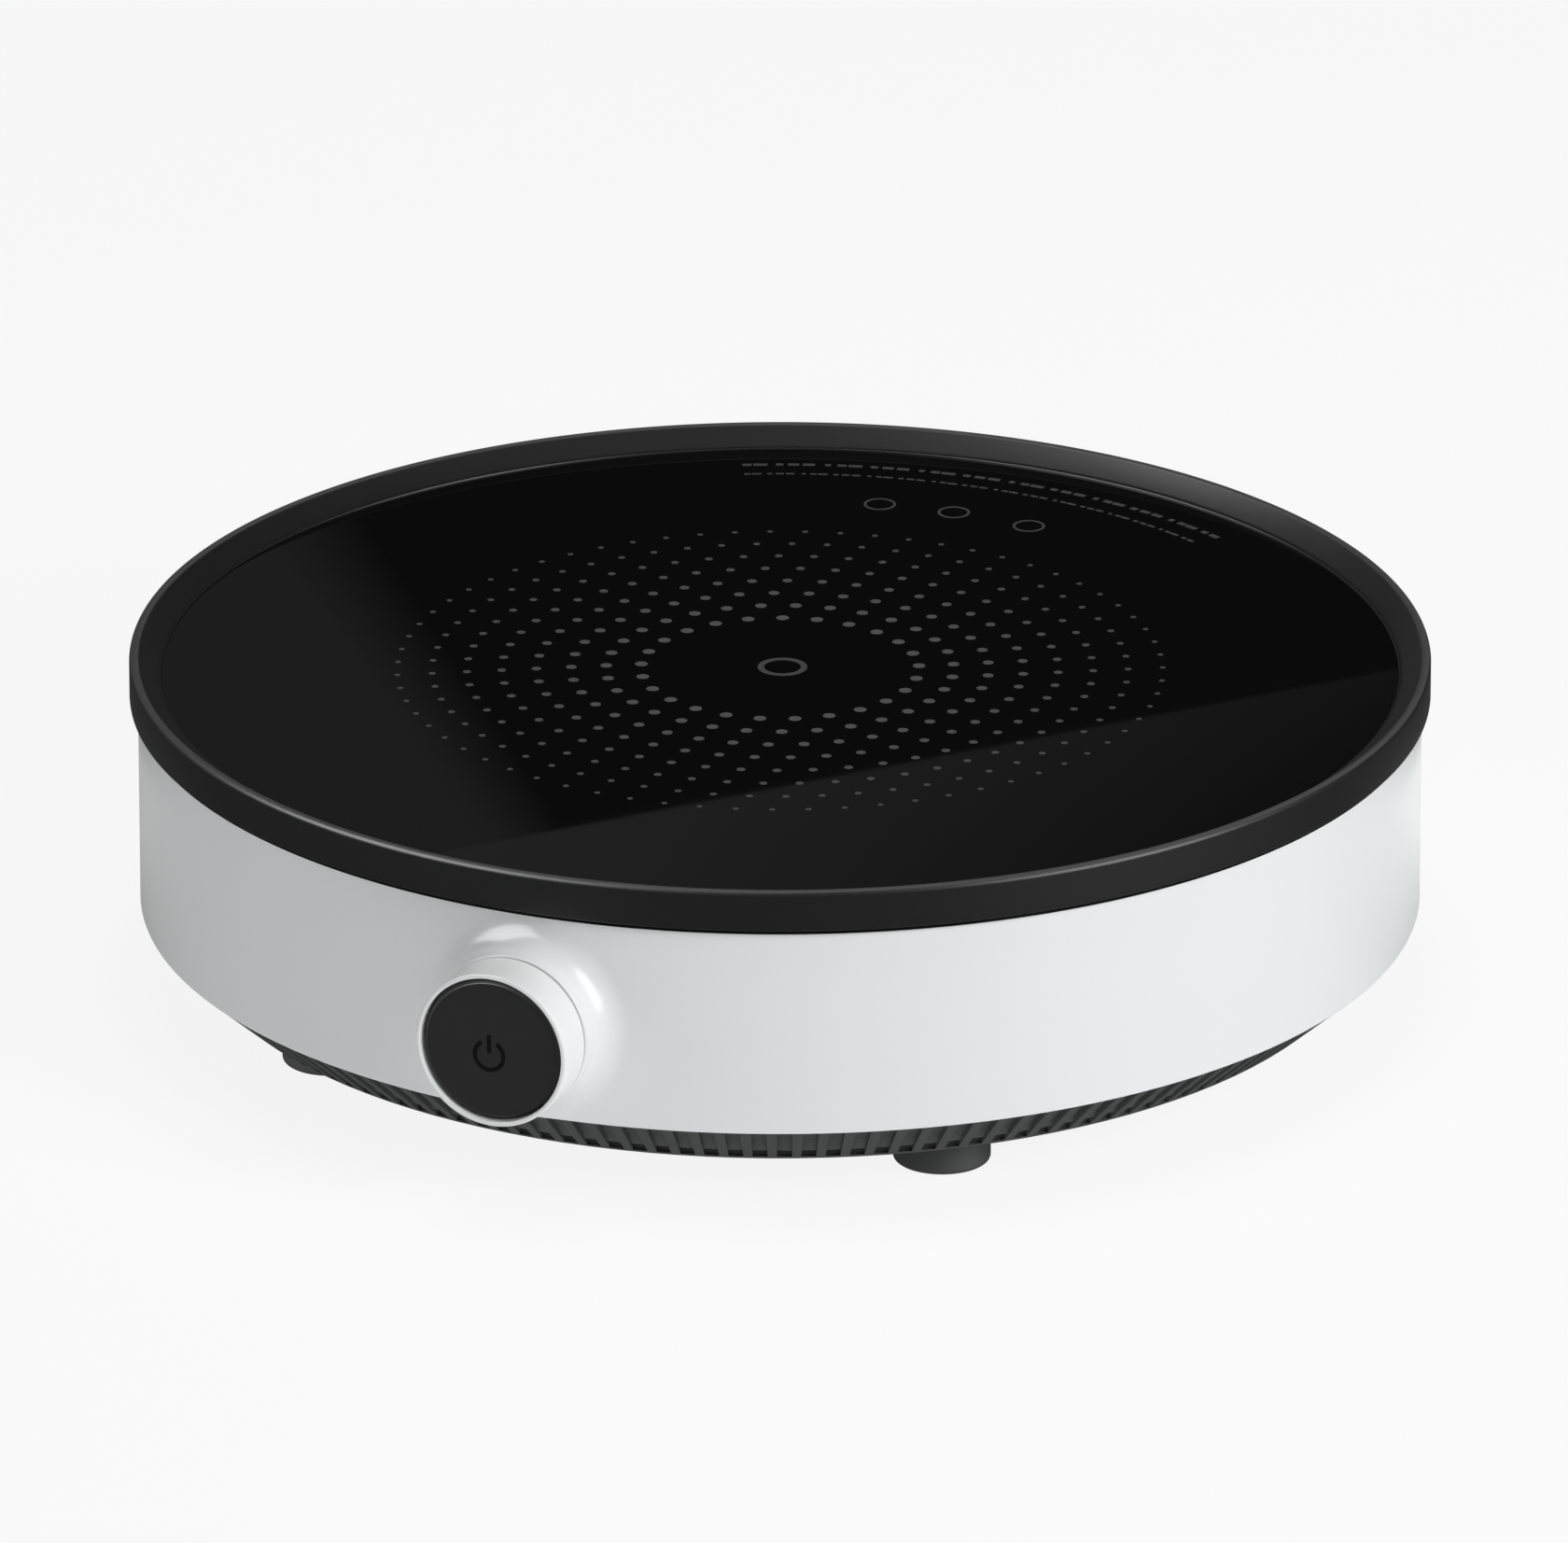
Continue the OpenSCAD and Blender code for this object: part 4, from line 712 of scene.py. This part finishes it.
# Painted shade: a dark ring just behind the open part of the slots stands for the shade inside them.
slot_shade_black = finish("slot_shade_black", (0.03, 0.03, 0.031), (0.024, 0.024, 0.025),
                      roughness=0.7, spread=0.1, patch=60, grain=2000, depth=0.00003)
slot_shade_low, slot_shade_high, slot_shade_foot_r, slot_shade_top_r = 9.9, 12.6, 118.75, 119.7
slot_shade_profile = [[slot_shade_top_r, slot_shade_high], [slot_shade_foot_r, slot_shade_low],
                  [slot_shade_foot_r - 0.65, slot_shade_low], [slot_shade_top_r - 0.8, slot_shade_high]]
slot_shade = turned("vent_slot_shade", slot_shade_profile, slot_shade_black, "cooktop_body", turns=320)


# ---- Fastenings and inner pieces ----------------------------------------------------------
# The coil, boards, fan, fastenings and the knob's works keep their own shapes, each in the
# finish of the real piece: zinc, nylon, copper, ferrite, lacquered board and so on.
nylon_black = finish("nylon_black", (0.02, 0.02, 0.021), roughness=0.5, grain=2000)
silicone_grey = finish("silicone_grey", (0.19, 0.19, 0.2), roughness=0.7, grain=1500)
zinc_steel = finish("zinc_plated_steel", (0.55, 0.56, 0.57), (0.42, 0.43, 0.45), roughness=0.32,
                    spread=0.2, patch=300, grain=2500, Metallic=1.0)
mineral_board = finish("mineral_fibre_board", (0.62, 0.58, 0.5), (0.5, 0.47, 0.4), roughness=0.9,
                       patch=120, grain=900, depth=0.0002)
copper_wire = finish("enamelled_copper", (0.45, 0.17, 0.07), (0.32, 0.1, 0.04), roughness=0.35,
                     patch=500, grain=3000, Metallic=1.0)
red_sleeve = finish("red_silicone_sleeve", (0.25, 0.02, 0.015), roughness=0.6, grain=1800)
dark_ferrite = finish("sintered_ferrite", (0.035, 0.03, 0.028), (0.05, 0.045, 0.04),
                      roughness=0.75, patch=200, grain=2200, depth=0.0001)
lacquer_green = finish("lacquered_board", (0.02, 0.12, 0.045), (0.03, 0.16, 0.06),
                       roughness=0.3, patch=220, grain=800)
bare_aluminium = finish("extruded_aluminium", (0.62, 0.63, 0.64), (0.5, 0.51, 0.52),
                        roughness=0.38, spread=0.2, patch=150, grain=1500, Metallic=1.0)
epoxy_black = finish("moulded_epoxy", (0.018, 0.018, 0.019), roughness=0.45, grain=1800)
cast_box = finish("cast_resin_box", (0.5, 0.47, 0.37), roughness=0.4, grain=1400)
film_yellow = finish("yellow_film_box", (0.6, 0.33, 0.02), roughness=0.4, grain=1400)
can_sleeve = finish("can_sleeve", (0.012, 0.02, 0.05), roughness=0.35, grain=1400)
iron_powder = finish("coated_iron_powder", (0.06, 0.12, 0.05), (0.4, 0.16, 0.07), tint_amount=0.4,
                     roughness=0.55, patch=260, grain=1200)
clear_tube = finish("fuse_glass", (0.55, 0.6, 0.62), roughness=0.15, grain=1200)
terminal_green = finish("terminal_nylon", (0.03, 0.17, 0.05), roughness=0.5, grain=1500)
bronze = finish("sintered_bronze", (0.3, 0.17, 0.06), roughness=0.45, grain=2200, Metallic=1.0)
lamination = finish("steel_laminations", (0.2, 0.21, 0.22), (0.35, 0.16, 0.08), roughness=0.45,
                    patch=350, grain=1600, Metallic=1.0)
bonded_magnet = finish("bonded_magnet", (0.05, 0.047, 0.045), roughness=0.6, grain=1800)
acetal_white = finish("white_acetal", (0.72, 0.725, 0.73), roughness=0.45, grain=1400)
cable_grey = finish("flat_cable", (0.25, 0.26, 0.27), roughness=0.5, grain=1400)
wheel_grey = finish("encoder_wheel", (0.08, 0.08, 0.085), (0.3, 0.28, 0.2), roughness=0.45,
                    patch=400, grain=1500)

kept = {
    base_black: "base_pan",
    nylon_black: "gland_nut coil_former fan_housing fan_impeller",
    silicone_grey: "glass_gasket sensor_holder",
    zinc_steel: "base_screws coil_screws board_screws sink_screws fan_screws barrel_screws fan_shaft",
    spring_steel: "knob_clip button_spring",
    mineral_board: "insulation_sheet",
    copper_wire: "coil_winding",
    red_sleeve: "coil_leads",
    dark_ferrite: "ferrite_bars aux_transformer",
    lacquer_green: "main_board control_board encoder_base",
    bare_aluminium: "heat_sink",
    epoxy_black: "igbt bridge_rectifier power_switch switch_plunger thermistor button_carrier button_stem",
    cast_box: "resonant_capacitor",
    film_yellow: "filter_capacitor emi_capacitor",
    can_sleeve: "bulk_capacitors",
    iron_powder: "line_choke",
    clear_tube: "fuse",
    terminal_green: "terminal_block",
    bronze: "fan_bearing",
    lamination: "fan_stator",
    bonded_magnet: "fan_magnet",
    acetal_white: "knob_barrel",
    cable_grey: "control_cable",
    wheel_grey: "encoder_rotor",
}
for material, names in kept.items():
    for name in names.split():
        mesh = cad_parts[name].data
        mesh.materials.clear()
        mesh.materials.append(material)


# ---- Floor, room and lamps ----------------------------------------------------------------
# A plain white floor that runs out of sight. The camera sees it mostly as white light, so that
# only a soft shadow shows. Reflections see it dark in front of the cooktop and lighter close
# behind it. The room gives an even fill, and large lamps shape the white wall.
floor_r, floor_sides, floor_z = 12, 64, -0.2 * MM
floor_turn = np.linspace(0, 2 * math.pi, floor_sides, endpoint=False)
floor_mesh = bpy.data.meshes.new("floor")
floor_mesh.from_pydata(on_wall(floor_r, floor_turn, 0).tolist(), [], [list(range(floor_sides))])
floor = bpy.data.objects.new("floor", floor_mesh)
bpy.context.collection.objects.link(floor)
floor.location.z = floor_z
floor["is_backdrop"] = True
floor_white = bpy.data.materials.new("floor_white")
floor_white.use_nodes = True
nodes, link = floor_white.node_tree.nodes, floor_white.node_tree.links.new
nodes.clear()
matte, glow, mix, rays, out = (nodes.new("ShaderNodeBsdfDiffuse"), nodes.new("ShaderNodeEmission"),
                               nodes.new("ShaderNodeMixShader"), nodes.new("ShaderNodeLightPath"),
                               nodes.new("ShaderNodeOutputMaterial"))
matte.inputs["Color"].default_value = (0.92, 0.92, 0.92, 1)
glow_in_camera, glow_on_pieces = 0.88, 0.75
share, bounce = nodes.new("ShaderNodeMath"), nodes.new("ShaderNodeMath")
bounce.operation, share.operation = "MULTIPLY", "MULTIPLY_ADD"
bounce.inputs[1].default_value = glow_on_pieces
share.inputs[1].default_value = glow_in_camera
link(rays.outputs["Is Diffuse Ray"], bounce.inputs[0])
link(rays.outputs["Is Camera Ray"], share.inputs[0])
link(bounce.outputs[0], share.inputs[2])
link(share.outputs[0], mix.inputs[0])
link(matte.outputs[0], mix.inputs[1])
link(glow.outputs[0], mix.inputs[2])
reflected, mirrored_floor = nodes.new("ShaderNodeMixShader"), nodes.new("ShaderNodeEmission")
where, behind, aside = (nodes.new("ShaderNodeTexCoord"), nodes.new("ShaderNodeVectorMath"),
                        nodes.new("ShaderNodeVectorMath"))
behind.operation = aside.operation = "DOT_PRODUCT"
behind.inputs[1].default_value = (-math.sin(view_turn), math.cos(view_turn), 0)
aside.inputs[1].default_value = view_right
back_share = carried(nodes, (0.0, 0.08), (0.0, 1.0))
side_share = carried(nodes, (-0.12, 0.12), (0.42, 0.95))
near = carried(nodes, (0.145, 0.168), (1.0, 0.0))
near_back = nodes.new("ShaderNodeMath")
near_back.operation = "MULTIPLY"
floor_in_front = 0.06
tone = nodes.new("ShaderNodeMix")
tone.data_type = "FLOAT"
tone.inputs[2].default_value = floor_in_front
link(where.outputs["Object"], behind.inputs[0])
link(where.outputs["Object"], aside.inputs[0])
link(behind.outputs["Value"], back_share.inputs["Value"])
link(aside.outputs["Value"], side_share.inputs["Value"])
link(rays.outputs["Ray Length"], near.inputs["Value"])
link(back_share.outputs["Result"], near_back.inputs[0])
link(near.outputs["Result"], near_back.inputs[1])
link(near_back.outputs[0], tone.inputs[0])
link(side_share.outputs["Result"], tone.inputs[3])
link(tone.outputs[0], mirrored_floor.inputs["Strength"])
link(rays.outputs["Is Glossy Ray"], reflected.inputs[0])
link(mix.outputs[0], reflected.inputs[1])
link(mirrored_floor.outputs[0], reflected.inputs[2])
link(reflected.outputs[0], out.inputs["Surface"])
floor_mesh.materials.append(floor_white)

# The room: even light for matte surfaces, and for reflections dark walls under a grey ceiling,
# lighter towards the left. Each stop is a height, as a share of the way up, and its grey.
room_greys = ((0.0, 0.07), (0.2, 0.05), (0.32, 0.014), (0.86, 0.014), (0.98, 0.28))
world = bpy.data.worlds.new("room")
bpy.context.scene.world = world
world.use_nodes = True
nodes, link = world.node_tree.nodes, world.node_tree.links.new
nodes.clear()
rays, out = nodes.new("ShaderNodeLightPath"), nodes.new("ShaderNodeOutputWorld")
fill, seen, dark = (nodes.new("ShaderNodeBackground") for _ in range(3))
fill.inputs["Color"].default_value = (0.12, 0.12, 0.12, 1)
where, split, rise = (nodes.new("ShaderNodeTexCoord"), nodes.new("ShaderNodeSeparateXYZ"),
                      nodes.new("ShaderNodeValToRGB"))
for stop, grey in room_greys:
    step = rise.color_ramp.elements.new(stop)
    step.color = (grey, grey, grey, 1)
rise.color_ramp.elements.remove(rise.color_ramp.elements[0])
rise.color_ramp.elements.remove(rise.color_ramp.elements[-1])
link(where.outputs["Generated"], split.inputs[0])
link(split.outputs["Z"], rise.inputs["Fac"])
link(rise.outputs["Color"], dark.inputs["Color"])
aside, side_gain = nodes.new("ShaderNodeVectorMath"), carried(nodes, (-0.45, -0.1), (3.0, 1.0))
aside.operation = "DOT_PRODUCT"
aside.inputs[1].default_value = view_right
link(where.outputs["Generated"], aside.inputs[0])
link(aside.outputs["Value"], side_gain.inputs["Value"])
link(side_gain.outputs["Result"], dark.inputs["Strength"])
first, second = nodes.new("ShaderNodeMixShader"), nodes.new("ShaderNodeMixShader")
link(rays.outputs["Is Glossy Ray"], first.inputs[0])
link(fill.outputs[0], first.inputs[1])
link(dark.outputs[0], first.inputs[2])
link(rays.outputs["Is Camera Ray"], second.inputs[0])
link(first.outputs[0], second.inputs[1])
link(seen.outputs[0], second.inputs[2])
seen.inputs["Color"].default_value = (1, 1, 1, 1)
link(second.outputs[0], out.inputs["Surface"])


lit_z = 40 * MM


def lamp(name, turn, rise, distance, width, height, power):
    """A rectangular soft lamp: turned that many degrees from the camera's side towards its
    right, raised that many degrees, facing the middle of the cooktop. Distance, width and
    height are in metres and power in watts."""
    data = bpy.data.lights.new(name, "AREA")
    data.shape = "RECTANGLE"
    data.size, data.size_y, data.energy = width, height, power
    thing = bpy.data.objects.new(name, data)
    a, e = view_turn + math.radians(turn), math.radians(rise)
    away = Vector((math.sin(a) * math.cos(e), -math.cos(a) * math.cos(e), math.sin(e)))
    thing.location = distance * away + Vector((0, 0, lit_z))
    thing.rotation_euler = away.to_track_quat("Z", "Y").to_euler()
    bpy.context.collection.objects.link(thing)
    return thing


lamp("key_right", 50, 30, 2.0, 0.8, 0.8, 22).visible_glossy = False
lamp("top_soft", 0, 88, 2.2, 1.0, 1.0, 12).visible_glossy = False
lamp("fill_left", -70, 12, 2.4, 1.2, 0.8, 4.1)
lamp("sheen_left", -72, 36, 2.0, 2.1, 1.4, 100).visible_diffuse = False
lamp("sheen_right", 60, 18, 2.0, 1.4, 1.9, 70).visible_diffuse = False


panel_steps, panel_away, darkest = 17, 0.6, 0.014


def reflected_panel(name, corners, shades, brightest):
    """A dim panel that only reflections show. Its corners are given as the places on the glass
    where the camera sees them mirrored: each is carried on along its own mirrored ray, and the
    shade goes evenly from corner to corner, held flat at the darkest and the brightest."""
    mirrored = Vector((camera.location.x, camera.location.y, 2 * glass_z - camera.location.z))
    steps = np.linspace(0, 1, panel_steps)
    a, b = np.meshgrid(steps, steps, indexing="ij")
    weights = np.stack([(1 - a) * (1 - b), a * (1 - b), a * b, (1 - a) * b], -1)
    on_glass = weights @ np.array([(x * MM, y * MM, glass_z) for x, y in corners])
    away = on_glass - np.array(mirrored)
    away /= np.linalg.norm(away, axis=-1, keepdims=True)
    mesh = bpy.data.meshes.new(name)
    mesh.from_pydata((on_glass + panel_away * away).reshape(-1, 3).tolist(), [],
                     grid_faces(panel_steps, panel_steps, False, False).tolist())
    glow = mesh.attributes.new("glow", "FLOAT", "POINT")
    glow.data.foreach_set("value", np.clip(weights @ np.array(shades), darkest, brightest).ravel())
    mesh.materials.append(panel_light)
    thing = bpy.data.objects.new(name, mesh)
    bpy.context.collection.objects.link(thing)
    thing.visible_camera = thing.visible_diffuse = thing.visible_shadow = False
    thing.visible_transmission = thing.visible_volume_scatter = False
    thing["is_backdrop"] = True


panel_light = bpy.data.materials.new("panel_light")
panel_light.use_nodes = True
nodes, link = panel_light.node_tree.nodes, panel_light.node_tree.links.new
nodes.clear()
shade, glow, out = (nodes.new("ShaderNodeAttribute"), nodes.new("ShaderNodeEmission"),
                    nodes.new("ShaderNodeOutputMaterial"))
shade.attribute_name = "glow"
link(shade.outputs["Fac"], glow.inputs["Strength"])
link(glow.outputs[0], out.inputs["Surface"])
reflected_panel("panel_left", ((-150, -62), (-128, 66), (-8, -94), (-20, -170)),
                (0.26, darkest, darkest, 0.22), 0.072)
reflected_panel("panel_front", ((-23.5, -118.8), (116.4, 48.3), (165, -20), (4, -165)),
                (0.097, 0.034, 0.0, 0.095), 0.10)

low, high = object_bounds()
